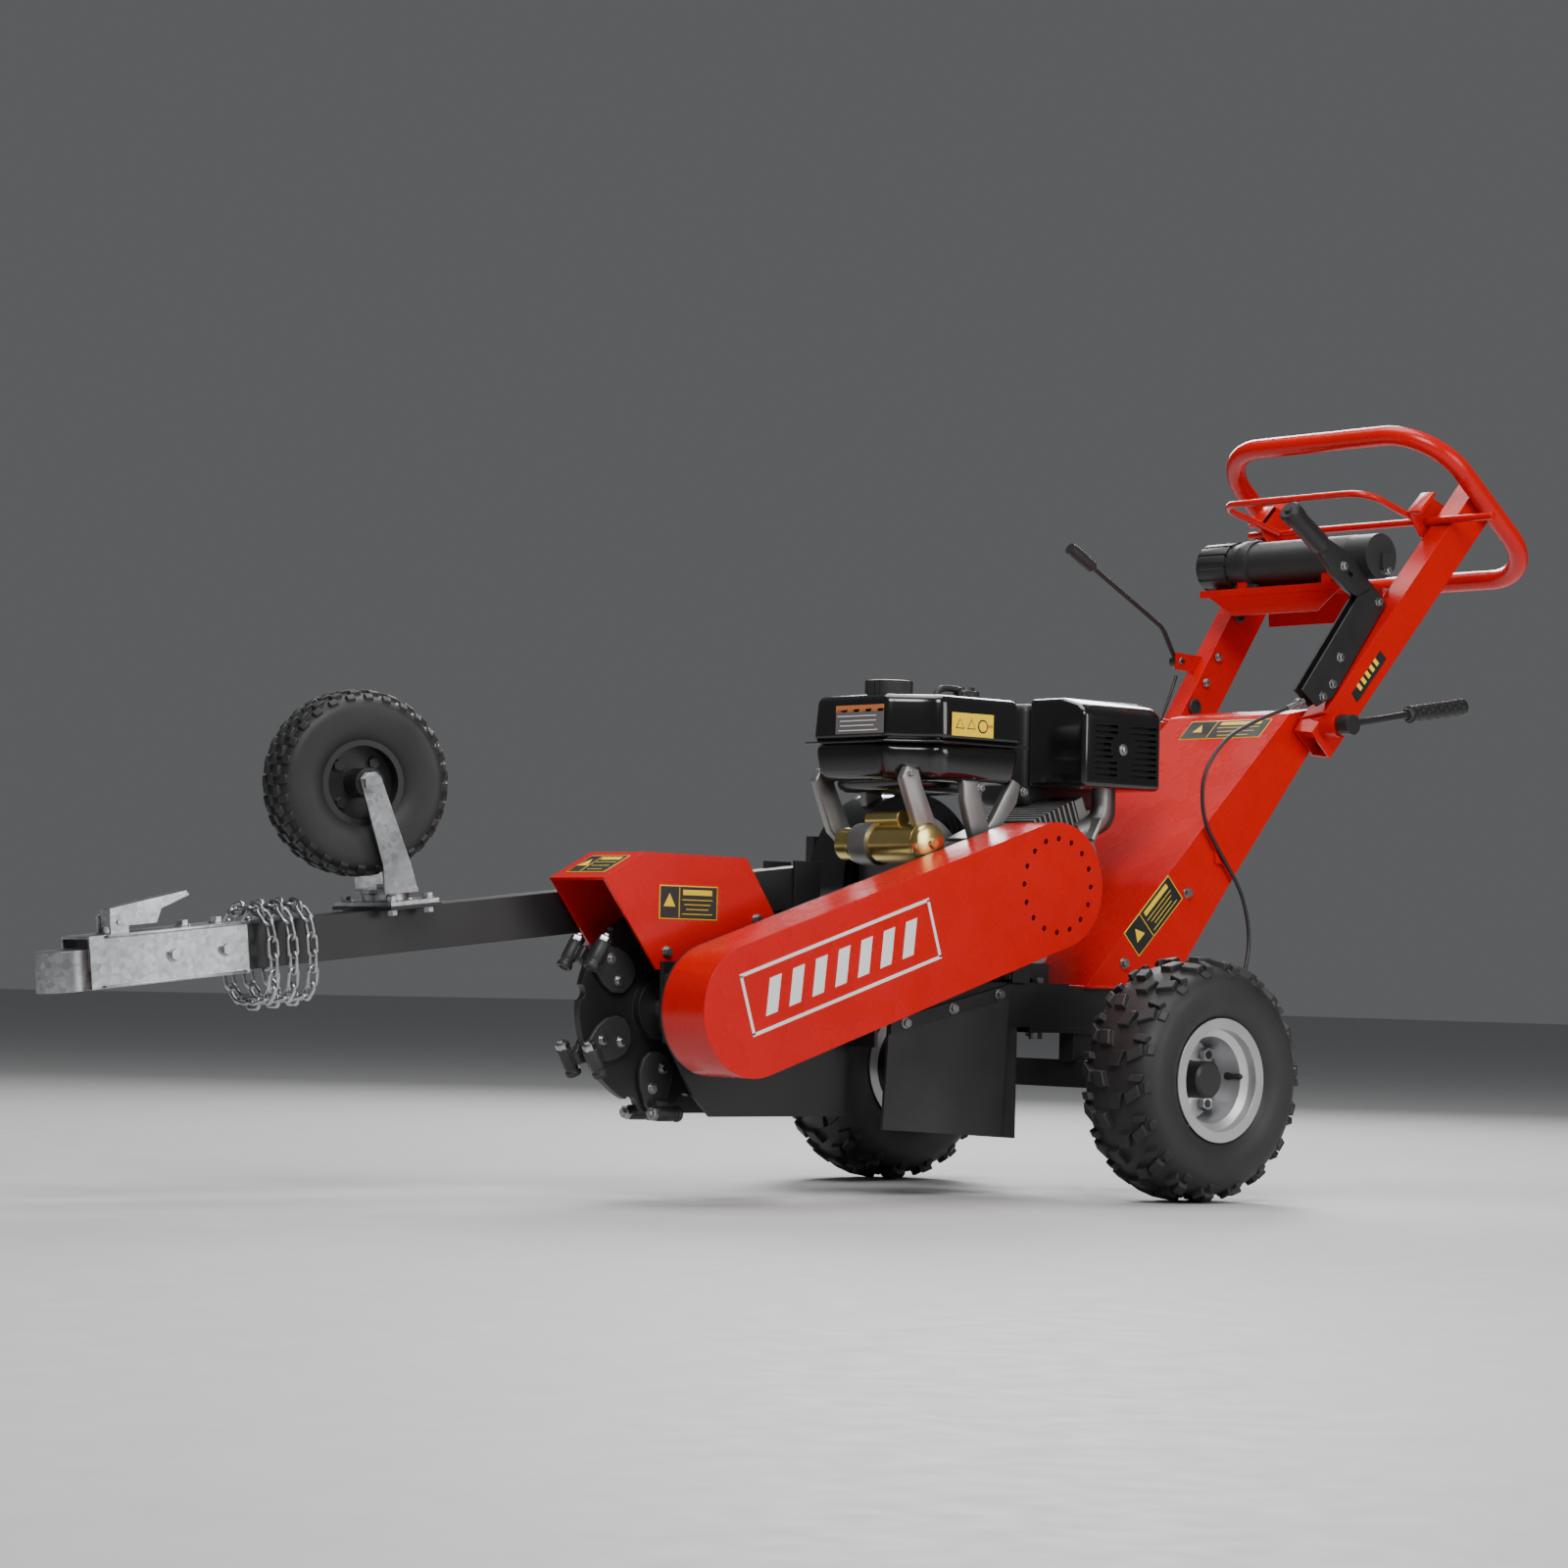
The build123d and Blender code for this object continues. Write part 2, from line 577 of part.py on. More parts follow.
def fan_housing():
    drum = cyl_y(CRANK_X, CRANK_Z, 140, 93, 172) - cyl_y(CRANK_X, CRANK_Z, 137, 96, 169)
    drum -= cyl_y(CRANK_X, CRANK_Z, 105, 92, 97)
    dome = cyl_y(CRANK_X, CRANK_Z, 92, 172, 198) - cyl_y(CRANK_X, CRANK_Z, 89, 168, 195)
    shape = drum + dome
    for k in range(12):
        a = math.radians(30 * k)
        slot = Pos(CRANK_X, 196, CRANK_Z) * Rot(0, math.degrees(a), 0) * box(34, 78, -3, 6, -5, 5)
        shape -= slot
    return shape


def recoil_grip():
    grip = fillet(box(-300, -282, 177, 195, 476, 524).edges().filter_by(Axis.Z), 6)
    return grip + cyl_x(186, 500, 3.5, -283, -256)


def muffler():
    can = fillet(box(-8, 140, -100, -4, 616, 732).edges().filter_by(Axis.Y), 20)
    a = math.radians(CYL_ANGLE)
    end = (CRANK_X + 242.1 * math.cos(a), -50, CRANK_Z + 242.1 * math.sin(a))
    bend = (end[0] + 45 * math.cos(a), -50, end[2] + 45 * math.sin(a))
    return can + tube_path([(bend[0], -50, 625), bend, end], 24, 14)


def muffler_guard():
    x0, x1, y0, y1, z0, z1 = -18, 150, -112, 7, 607, 742
    shell = box(x0, x1, y0, y1, z0, z1) - box(x0 + 2, x1 - 2, y0 + 2, y1 - 2, z0 - 1, z1 - 2)
    for row in range(7):
        z = 632 + 13 * row
        for xa in (8, 92):
            shell -= box(xa, xa + 34, y0 - 1, y0 + 3, z, z + 5)
    for row in range(6):
        shell -= box(x1 - 3, x1 + 1, -95, -20, 640 + 14 * row, 646 + 14 * row)
    return shell


def air_cleaner():
    body = fillet(box(-18, 150, 14, 112, 612, 735).edges().filter_by(Axis.Z), 22)
    body = fillet(body.faces().sort_by(Axis.Z)[-1].edges(), 12)
    return body + box(62, 125, 38, 84, 560, 613)


def starter_motor():
    can = cyl_y(-335, 510, 28, -105, 35) + cyl_y(-335, 510, 24, 35, 62)
    can += cyl_y(-335, 510, 22, -110, -105)
    return can + box(-325, -285.1, -10, 60, 492, 528) + cyl_y(-335, 546, 12, -60, 10)


def tank_brackets():
    out = []
    for x, y in ((-262, -60), (-262, 60), (-118, -60), (-118, 60)):
        out.append(box(x - 20, x + 20, y - 3, y + 3, CRANK_Z + 61, 602))
    for k in (2, 3):
        out[k] = box(-162, -138, -63 + 120 * (k - 2), -57 + 120 * (k - 2), CRANK_Z + 61, 602)
    return out


# ---------------------------------------------------------------- tow bar, hitch and caster
def towbar():
    h = TOW_BAR / 2
    bar = box(-TOW_LEN, 0, -h, h, -h, h) - box(-TOW_LEN - 1, 1, -h + 4, h - 4, -h + 4, h - 4)
    bar += box(-CASTER_S - 42, -CASTER_S + 42, -68, 68, h, h + 5)
    bar -= cyl_z(-CASTER_S, 0, 13, h - 6, h + 6)
    return TOW * bar


def tow_coupler():
    h = TOW_BAR / 2
    t = 3.5
    front = -BALL_S + 20
    top = box(front, -COUPLER_S, -h - GAP - t, h + GAP + t, h + GAP, h + GAP + t)
    shape = top
    for s in (-1, 1):
        ya, yb = sorted((s * (h + GAP), s * (h + GAP + t)))
        shape += box(front, -COUPLER_S, ya, yb, -h - 4, h + GAP + t)
    shape += cyl_z(-BALL_S, 0, 36, -h - 4, 18)
    shape += box(-BALL_S, -BALL_S + 50, -30.6, 30.6, -10, 18)
    shape -= Pos(-BALL_S, 0, -20) * Sphere(BALL_R + 0.8)
    shape -= cyl_z(-BALL_S, 0, BALL_R + 0.8, -60, -20)
    for s in (-1, 1):
        ya, yb = sorted((s * 13, s * 17))
        lug = box(-1192, -1164, ya, yb, h + GAP + t, 58)
        shape += lug
    shape -= cyl_y(-1178, 48, 4.06, -20, 20)
    return TOW * shape


def coupler_latch():
    pts = [(-1188, 42), (-1188, 66), (-1070, 80), (-1066, 74), (-1110, 60), (-1118, 42)]
    body = side_plate(pts, -12, 12) + cyl_y(-1178, 48, 4, -19, 19)
    return TOW * body


def chain_link():
    rb, hs = 7.0, 7.0
    path = Pos(0, 0, 0) * RectangleRounded(2 * (hs + rb), 2 * rb, rb - 0.01).wire()
    profile = Plane(origin=(0, rb, 0), z_dir=(1, 0, 0)) * Circle(CHAIN_WIRE)
    return sweep(profile, path=path)


def wrap_points(n, spacing):
    """Even points round a soft rectangle that clears the square bar."""
    fine = 1440
    raw = []
    for k in range(fine):
        a = 2 * math.pi * k / fine
        c, s = math.cos(a), math.sin(a)
        raw.append((57 * math.copysign(abs(c) ** 0.66, c), 66 * math.copysign(abs(s) ** 0.66, s)))
    seg = [math.dist(raw[k], raw[(k + 1) % fine]) for k in range(fine)]
    scale = n * spacing / sum(seg)
    out, walked, target = [], 0.0, 0.0
    for k in range(fine):
        if walked >= target and len(out) < n:
            out.append((raw[k][0] * scale, raw[k][1] * scale))
            target += sum(seg) / n
        walked += seg[k]
    return out


def safety_chain():
    link = chain_link()
    links = []
    for w in range(3):
        pts = wrap_points(18, 22.3)
        for k in range(18):
            a, b = pts[k], pts[(k + 1) % 18]
            mid = ((a[0] + b[0]) / 2, (a[1] + b[1]) / 2)
            ang = math.degrees(math.atan2(b[1] - a[1], b[0] - a[0]))
            frame = Pos(-908 - 31 * w, mid[0], mid[1] - 14) * Rot(ang, 0, 0) * Rot(0, 0, 90)
            links.append(TOW * frame * Rot(90 * (k % 2), 0, 0) * link)
    return links


def caster_plate():
    z = TOW_BAR / 2 + 5
    plate = box(-40, 40, -66, 66, z, z + 6) + cyl_z(0, 0, 33, z + 6, z + 16)
    return TOW * Pos(-CASTER_S, 0, 0) * (plate - cyl_z(0, 0, 8 + RUN, z - 1, z + 17))


def caster_frame():
    return TOW * Pos(-CASTER_S, 0, TOW_BAR / 2) * Rot(0, 0, CASTER_YAW)


def caster_fork():
    y0 = CASTER_W / 2 + 10
    t = CASTER_TRAIL
    up = CASTER_UP
    crown = box(-24, 24, -y0 - 5, y0 + 5, 21.5, 27) + cyl_z(0, 0, 35, 21.5, 27)
    crown += cyl_z(0, 0, 8, 2, 22) + cyl_z(0, 0, 12, 27, 33)
    leg = [(-24, 21.5), (24, 21.5), (16, 60), (-t + 15, up + 6), (-t + 8, up + 14)]
    leg += [(-t - 8, up + 14), (-t - 15, up + 6), (-24, 60)]
    shape = crown + side_plate(leg, -y0 - 5, -y0) + side_plate(leg, y0, y0 + 5)
    shape += cyl_y(-t, up, 8, -y0 - 9, y0 + 9)
    for s in (-1, 1):
        plane = Plane(origin=(-t, s * (y0 + 5), up), z_dir=(0, s, 0))
        shape += plane * hexagon(13, 9)
    return caster_frame() * shape


def caster_tyre():
    h = CASTER_W / 2
    r = CASTER_R
    prof = [(-26, 53), (-26, 62), (-h, 82), (-h, 104), (-h + 16, r), (h - 16, r), (h, 104), (h, 82)]
    prof += [(26, 62), (26, 53), (18, 53), (18, 66), (h - 8, 86), (h - 8, 100), (h - 20, r - 8)]
    prof += [(-h + 20, r - 8), (-h + 8, 100), (-h + 8, 86), (-18, 66), (-18, 53)]
    return caster_frame() * turned(prof, -CASTER_TRAIL, 0, CASTER_UP, -1)


def caster_rim():
    b = 8 + RUN
    e = CASTER_W / 2 + 9.5
    prof = [(-29, 61), (-26.2, 61), (-26.2, 52.8), (26.2, 52.8)]
    prof += [(26.2, 61), (29, 61), (29, 50), (4, 50), (4, 20)]
    prof += [(e, 20), (e, b), (-e, b), (-e, 20), (-4, 20), (-4, 50), (-29, 50)]
    shape = turned(prof, -CASTER_TRAIL, 0, CASTER_UP, -1)
    for k in range(4):
        a = math.radians(45 + 90 * k)
        seat = (-CASTER_TRAIL + 36 * math.cos(a), -4, CASTER_UP + 36 * math.sin(a))
        plane = Plane(origin=seat, z_dir=(0, -1, 0))
        shape += plane * hexagon(8, 6)
    return caster_frame() * shape


# ---------------------------------------------------------------- controls
def brake_bracket():
    pts = [(588, 925), (464, 769), (428, 752), (394, 776), (520, 930), (552, 944)]
    shape = side_plate(pts, -177, -174) + side_plate(pts, -161, -158)
    for x, z in ((470, 805), (430, 775), (505, 850)):
        shape += cyl_y(x, z, 7, -174, -161)
    return shape - cyl_y(567, 926, 5 + RUN, -180, -150)


def brake_lever():
    ang = math.degrees(math.atan2(1053 - 926, 566 - 366))
    bar = box(-236, 12, -5, 5, -11, 11) + box(-244, -150, -8, 8, -13, 13)
    bar += cyl_y(0, 0, 5, -14, 14)
    return Pos(567, -167.5, 926) * Rot(0, ang, 0) * bar


def brake_cable():
    pts = [(390, -168, 752), (322, -156, 728), (255, -144, 694), (214, -137, 636), (217, -137, 567)]
    pts += [(262, -137, 512), (308, -138, 458), (323, -143, 390), (300, -152, 325), (245, -170, 278)]
    pts += [(175, -196, 252), (112, -222, 234), (64, -242.5, 203)]
    return cable(pts, 3.0, "brake_cable")


def throttle_cable():
    pts = [(478, 172, 816), (452, 171, 758), (410, 164, 706), (352, 152, 670), (292, 143, 634)]
    pts += [(233, 136, 603), (178, 112, 590), (127, 80, 586)]
    return cable(pts, 2.5, "throttle_cable")


def throttle_lever():
    y = 180
    shape = tube_path([(485, y, 840), (452, y, 892), (242, y, 1001)], 40, 4)
    shape += rod((285, y, 978.7), (236, y, 1004.1), 9.5)
    return shape + cyl_y(485, 840, 10, 172.5, 186) + cyl_y(485, 840, 4, 164, 174)


def operator_bail():
    x, z = 697, 1066
    shape = cyl_y(x, z, 6, -300, 217)
    shape += tube_path([(x, -150, z), (556, -158, 1100), (556, 158, 1100), (x, 150, z)], 35, 5.5)
    return shape


def side_lever():
    shape = cyl_y(458, 724, 10, -226, 192) + cyl_y(458, 724, 16, -226, -203) + cyl_y(458, 724, 16, 181, 192)
    shape += rod((458, -214, 724), (606, -214, 748.7), 6)
    return shape + rod((604, -214, 748.4), (732, -214, 768), 13.5)


def manual_tube():
    body = cyl_y(TUBE_X, TUBE_Z, TUBE_R, -190, 118) - cyl_y(TUBE_X, TUBE_Z, TUBE_R - 2.5, -187, 119)
    return body + box(TUBE_X - 4, TUBE_X + 24, -198, -186, TUBE_Z - 20, TUBE_Z + 4)


def tube_cap():
    cap = cyl_y(TUBE_X, TUBE_Z, TUBE_R + 3, 108, 172)
    cap -= cyl_y(TUBE_X, TUBE_Z, TUBE_R + RUN, 107, 119)
    return cap - cyl_y(TUBE_X, TUBE_Z, TUBE_R - 3, 118, 168)


def rubber_flaps():
    side = side_plate([(-413, 250), (-174, 306), (-187, 86), (-421, 98)], -125, -120)
    rear = box(-156, -151, -118, 118, 84, RAIL_Z0 - GAP) + box(-156, -151, -78, 78, 240, 302)
    return [side, rear]


def flap_strap():
    return side_plate([(-413, 234), (-174, 290), (-174, 310), (-413, 254)], -129, -125)


# ---------------------------------------------------------------- fasteners
def frame_bolts():
    out = axle_bolts()
    for x in (-385, -292, -200):
        out.append(bolt_at(x, -129, 244 + (x + 413) * 0.234, (0, -1, 0)))
    for x, z in ((-775, 343), (-612, 392), (-700, 343)):
        out.append(bolt_at(x, -HOOD_HALF, z, (0, -1, 0), 6.5, 5))
        out.append(bolt_at(x, HOOD_HALF, z, (0, 1, 0), 5.0, 2.5))
    for x, z in ((195, 455), (60, 345)):
        out.append(bolt_at(x, -RISER_HALF, z, (0, -1, 0)))
        out.append(bolt_at(x, RISER_HALF, z, (0, 1, 0)))
    for x in (-420, -398):
        out.append(bolt_at(x, 134, 440, (0, 1, 0), 9, 8))
    out.append(bolt_at(-154, -110, RAIL_Z0 + RAIL_H + DECK_T + 4, (0, 0, 1)))
    return out


def hitch_bolts():
    h = TOW_BAR / 2
    out = []
    for dx in (-30, 30):
        for y in (-53, 53):
            top = bolt_at(-CASTER_S + dx, y, h + 11, (0, 0, 1), 7.5, 6)
            low = bolt_at(-CASTER_S + dx, y, h, (0, 0, -1), 7.5, 6)
            out += [TOW * top, TOW * low]
    for s in (1020, 1072):
        out.append(TOW * bolt_at(-s, 0, h + GAP + 3.5, (0, 0, 1), 8, 6))
    for s in (1030, 1110):
        out.append(TOW * bolt_at(-s, -h - GAP - 3.5, 0, (0, -1, 0), 8, 6))
        out.append(TOW * bolt_at(-s, h + GAP + 3.5, 0, (0, 1, 0), 8, 6))
    return out


def make_tow():
    save("towbar", towbar())
    save("tow_coupler", tow_coupler())
    save("coupler_latch", coupler_latch())
    save("safety_chain", *safety_chain())
    save("caster_plate", caster_plate())
    save("caster_fork", caster_fork())
    save("caster_tyre", caster_tyre())
    save("caster_rim", caster_rim())
    save("frame_bolts", *(frame_bolts() + hitch_bolts()))


def make_engine():
    save("engine_block", engine_block())
    save("cylinder", cylinder())
    save("crankshaft", crankshaft())
    save("fuel_tank", fuel_tank())
    save("fuel_cap", fuel_cap())
    save("fan_housing", fan_housing())
    save("recoil_grip", recoil_grip())
    save("muffler", muffler())
    save("muffler_guard", muffler_guard())
    save("air_cleaner", air_cleaner())
    save("starter_motor", starter_motor())
    save("tank_brackets", *tank_brackets())


def make_controls():
    save("brake_bracket", brake_bracket())
    save("brake_lever", brake_lever())
    save("brake_cable", brake_cable())
    save("throttle_cable", throttle_cable())
    save("throttle_lever", throttle_lever())
    save("operator_bail", operator_bail())
    save("side_lever", side_lever())
    save("manual_tube", manual_tube())
    save("tube_cap", tube_cap())
    save("rubber_flaps", *rubber_flaps())
    save("flap_strap", flap_strap())


if __name__ == "__main__":
    make_wheels()
    save("chassis_frame", chassis_frame())
    save("axle_beam", axle_beam())
    save("riser_housing", riser_housing())
    save("battery", battery())
    save("handle_arm_left", handle_arm(-1))
    save("handle_arm_right", handle_arm(1))
    save("handle_cross_plate", handle_cross_plate())
    save("handlebar_loop", handlebar_loop())
    make_drive()
    make_cutter()
    make_engine()
    make_tow()
    make_controls()
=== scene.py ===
# %% [markdown]
# # A walk-behind stump grinder
# A petrol engine turns a toothed disc through belts, and the whole machine rolls on two chunky tyres behind
# a tow bar with a jockey wheel. The steel structure already exists as an exact model that moves correctly.
# This lesson gives it real tyres, moulded covers, labels and finishes without moving any of it.

import json
import math

import bpy
from mathutils import Matrix, Vector


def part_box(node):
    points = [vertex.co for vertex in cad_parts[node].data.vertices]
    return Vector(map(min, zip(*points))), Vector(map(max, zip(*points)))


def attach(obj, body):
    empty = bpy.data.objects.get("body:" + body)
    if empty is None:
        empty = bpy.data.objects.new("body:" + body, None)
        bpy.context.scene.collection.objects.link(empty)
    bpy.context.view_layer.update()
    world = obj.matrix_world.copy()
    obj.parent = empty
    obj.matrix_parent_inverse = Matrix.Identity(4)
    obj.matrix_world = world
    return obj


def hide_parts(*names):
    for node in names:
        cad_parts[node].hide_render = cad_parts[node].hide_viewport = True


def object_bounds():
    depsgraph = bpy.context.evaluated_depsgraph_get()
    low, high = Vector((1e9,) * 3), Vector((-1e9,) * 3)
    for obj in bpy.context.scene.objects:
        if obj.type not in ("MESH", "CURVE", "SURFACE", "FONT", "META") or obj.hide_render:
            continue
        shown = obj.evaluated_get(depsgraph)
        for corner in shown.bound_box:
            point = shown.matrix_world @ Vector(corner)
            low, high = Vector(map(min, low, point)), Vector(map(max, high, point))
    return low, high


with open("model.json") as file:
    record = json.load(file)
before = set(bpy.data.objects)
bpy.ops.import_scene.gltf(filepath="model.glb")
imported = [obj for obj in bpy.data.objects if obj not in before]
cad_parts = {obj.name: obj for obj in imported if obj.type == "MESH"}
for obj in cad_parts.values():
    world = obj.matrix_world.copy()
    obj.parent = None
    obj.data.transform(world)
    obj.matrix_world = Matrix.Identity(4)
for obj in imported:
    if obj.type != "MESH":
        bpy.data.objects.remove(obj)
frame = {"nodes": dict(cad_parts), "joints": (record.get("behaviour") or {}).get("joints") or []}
cad_low, cad_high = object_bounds()
nodes = frame["nodes"]
print("loaded", len(nodes), "pieces, size", [round(v, 3) for v in cad_high - cad_low])

# %% [markdown]
# ## Measuring from the machine
# A fitter measures from the wheel axle, because everything hangs on it. The same is done here: the axle's
# place is read from the frame, and other places are offsets from it in millimetres. That could be done with
# absolute numbers, but then a change of the machine's origin would break every piece.

# %% Places
MM = 0.001
X, Y, Z = Vector((1, 0, 0)), Vector((0, 1, 0)), Vector((0, 0, 1))


def middle(node):
    low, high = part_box(node)
    return (low + high) / 2


AXLE = Vector((middle("tyre_left").x, 0, 0))


def at(x, y, z):
    """A place x mm behind the axle, y mm to the far side and z mm above the floor."""
    return AXLE + Vector((x, y, z)) * MM


print("axle at", [round(v, 4) for v in AXLE])

# %% [markdown]
# ## Helpers for modelling by hand
# Each helper does what a modeller does with the mouse: deselect everything, add a primitive, shape it in
# edit mode, apply its place, and finish it with a modifier. Writing the steps once keeps later cells short.

# %% Selecting and shaping


def mode(name):
    bpy.ops.object.mode_set(mode=name)


def clear():
    if bpy.context.mode != "OBJECT":
        mode("OBJECT")
    bpy.ops.object.select_all(action="DESELECT")


def take(obj):
    clear()
    obj.select_set(True)
    bpy.context.view_layer.objects.active = obj
    return obj


def named(name):
    obj = bpy.context.object
    obj.name = name
    obj.data.name = name
    return obj


def settle(obj):
    take(obj)
    bpy.ops.object.transform_apply(location=True, rotation=True, scale=True)
    return obj


def choose(obj, test):
    """Opens edit mode with the faces selected whose centre and normal pass the test."""
    take(obj)
    mode("EDIT")
    bpy.ops.mesh.select_mode(type="FACE")
    bpy.ops.mesh.select_all(action="DESELECT")
    mode("OBJECT")
    for face in obj.data.polygons:
        face.select = test(face.center, face.normal)
    mode("EDIT")


def push(value):
    bpy.ops.mesh.extrude_region_move(TRANSFORM_OT_translate={"value": value})


def tidy_normals(obj):
    take(obj)
    mode("EDIT")
    bpy.ops.mesh.select_all(action="SELECT")
    bpy.ops.mesh.remove_doubles(threshold=0.00002)
    bpy.ops.mesh.normals_make_consistent(inside=False)
    mode("OBJECT")
    return obj


def modify(obj, kind, **settings):
    take(obj)
    modifier = obj.modifiers.new(kind.title(), kind)
    for key, value in settings.items():
        setattr(modifier, key, value)
    bpy.ops.object.modifier_apply(modifier=modifier.name)
    return obj


def soften(obj, width, segments=3, angle=30):
    return modify(obj, "BEVEL", width=width * MM, segments=segments,
                  limit_method="ANGLE", angle_limit=math.radians(angle))


print("edit helpers ready")

# %% Starting shapes


def block(name, low, high):
    """A cube primitive stretched between two corners."""
    clear()
    bpy.ops.mesh.primitive_cube_add(size=1, location=(low + high) / 2)
    obj = named(name)
    obj.scale = high - low
    return settle(obj)


def slab(name, centre, along, across, length, width, height):
    """A cube primitive laid on two directions, for plates and labels that lie on slanted faces."""
    clear()
    bpy.ops.mesh.primitive_cube_add(size=1)
    obj = named(name)
    up = along.cross(across).normalized()
    turn = Matrix((along.normalized(), across.normalized(), up)).transposed().to_4x4()
    size = Matrix.Diagonal((length * MM, width * MM, height * MM, 1))
    obj.matrix_world = Matrix.Translation(centre) @ turn @ size
    return settle(obj)


def drum(name, centre, axis, radius, length, sides=48):
    """A cylinder primitive, radius and length in mm."""
    clear()
    turn = Z.rotation_difference(axis).to_euler()
    bpy.ops.mesh.primitive_cylinder_add(vertices=sides, radius=radius * MM, depth=length * MM,
                                        location=centre, rotation=turn)
    return settle(named(name))


def plate(name, points, thickness):
    """A filled circle primitive whose corners are moved to an outline, then extruded by a vector."""
    clear()
    bpy.ops.mesh.primitive_circle_add(vertices=len(points), radius=0.1, fill_type="NGON")
    obj = named(name)
    for vertex, point in zip(obj.data.vertices, points):
        vertex.co = point
    choose(obj, lambda centre, normal: True)
    push(thickness)
    return tidy_normals(obj)


def turned(name, profile, centre, axis, steps=64):
    """A closed outline of (along, radius) in mm, spun round an axis."""
    clear()
    bpy.ops.mesh.primitive_circle_add(vertices=len(profile), radius=0.1, fill_type="NOTHING")
    obj = named(name)
    side = axis.orthogonal().normalized()
    for vertex, (along, radius) in zip(obj.data.vertices, profile):
        vertex.co = centre + axis * along * MM + side * radius * MM
    take(obj)
    mode("EDIT")
    bpy.ops.mesh.select_all(action="SELECT")
    bpy.ops.mesh.spin(steps=steps, angle=math.tau, center=centre, axis=axis)
    return tidy_normals(obj)


def wire(name, points, radius):
    """A smooth round wire through points, made as a curve and turned into a mesh."""
    curve = bpy.data.curves.new(name, "CURVE")
    curve.dimensions = "3D"
    curve.bevel_depth = radius * MM
    curve.bevel_resolution = 3
    curve.use_fill_caps = True
    spline = curve.splines.new("NURBS")
    spline.points.add(len(points) - 1)
    for control, point in zip(spline.points, points):
        control.co = (*point, 1)
    spline.order_u = 3
    spline.use_endpoint_u = True
    obj = bpy.data.objects.new(name, curve)
    bpy.context.scene.collection.objects.link(obj)
    take(obj)
    bpy.ops.object.convert(target="MESH")
    return tidy_normals(named(name))


def copy_of(obj, matrix):
    """A copy with its own mesh, moved by a matrix."""
    new = obj.copy()
    new.data = obj.data.copy()
    new.data.transform(matrix)
    bpy.context.scene.collection.objects.link(new)
    return new


def joined(name, parts):
    clear()
    for part in parts:
        part.select_set(True)
    bpy.context.view_layer.objects.active = parts[0]
    bpy.ops.object.join()
    return named(name)


def about(centre, axis, angle):
    """A turn of some degrees about an axis through a place."""
    turn = Matrix.Rotation(math.radians(angle), 4, axis)
    return Matrix.Translation(centre) @ turn @ Matrix.Translation(-centre)


def ring_of(name, obj, count, centre, axis):
    copies = [copy_of(obj, about(centre, axis, 360 / count * i)) for i in range(1, count)]
    return joined(name, [obj, *copies])


print("starting shapes ready")

# %% [markdown]
# ## Finishes
# Real finishes are never one flat colour. Powder coat has a fine orange peel and slight cloudiness, zinc has
# spangle, cast metal is grainy, rubber is dusty in its hollows. Each finish below starts from one recipe:
# a cloudy base colour, a wandering roughness, a fine bump, edges rounded by a bevel shader, and a little wear
# where those edges are. Painted textures would also do it, but patterns made by nodes need no image and keep
# their real scale, because they read object coordinates in metres.

# %% The recipe that every finish starts from


def finish(name, colour, roughness, metallic=0.0, clouds=0.12, grain=900.0, relief=0.00006,
           edge=None, edge_amount=0.5, coat=0.0, spangle=0.0, shine=0.5):
    made = bpy.data.materials.new(name)
    made.use_nodes = True
    tree = made.node_tree

    def feed(node, inputs):
        """Links an input to another node's output, or sets it to a value."""
        for key, value in inputs.items():
            if isinstance(value, bpy.types.NodeSocket):
                tree.links.new(value, node.inputs[key])
            else:
                node.inputs[key].default_value = value

    def new(kind, inputs, output, **settings):
        node = tree.nodes.new("ShaderNode" + kind)
        for key, value in settings.items():
            setattr(node, key, value)
        feed(node, inputs)
        return node.outputs[output]

    def noise(scale, detail):
        return new("TexNoise", {"Vector": place, "Scale": scale, "Detail": detail}, "Fac")

    def ranged(value, low, high, to_low=0.0, to_high=1.0):
        inputs = {"Value": value, "From Min": low, "From Max": high, "To Min": to_low, "To Max": to_high}
        return new("MapRange", inputs, "Result")

    def mixed(factor, a, b, blend="MIX"):
        return new("Mix", {"Factor": factor, "A": a, "B": b}, "Result", data_type="RGBA", blend_type=blend)

    def times(a, b):
        return new("Math", {0: a, 1: b}, "Value", operation="MULTIPLY")

    place = new("TexCoord", {}, "Object")
    dark, light = [(*[min(1, c * share) for c in colour], 1) for share in (1 - clouds, 1 + clouds)]
    skin = mixed(ranged(noise(9.0, 5.0), 0.3, 0.7), dark, light)
    if spangle:
        crystals = new("TexVoronoi", {"Vector": place, "Scale": spangle}, "Color")
        skin = mixed(0.75, skin, ranged(crystals, 0.0, 1.0, 0.62, 1.25), "MULTIPLY")
    rough = ranged(noise(24.0, 5.0), 0.3, 0.7, roughness * 0.9, min(1.0, roughness * 1.14))
    rounding = new("Bevel", {"Radius": 0.0012}, "Normal", samples=4)
    skin_relief = {"Strength": 0.6, "Distance": relief, "Height": noise(grain, 2.0), "Normal": rounding}
    bump = new("Bump", skin_relief, "Normal")
    if edge:
        true_face = new("NewGeometry", {}, "Normal")
        agree = new("VectorMath", {0: rounding, 1: true_face}, "Value", operation="DOT_PRODUCT")
        rub = times(ranged(agree, 0.93, 0.74), noise(70.0, 4.0))
        skin = mixed(times(rub, edge_amount), skin, (*edge, 1))
    feed(tree.nodes["Principled BSDF"],
         {"Base Color": skin, "Metallic": metallic, "Roughness": rough, "Normal": bump,
          "Specular IOR Level": shine, "Coat Weight": coat, "Coat Roughness": 0.12})
    return made


print("finish recipe ready")

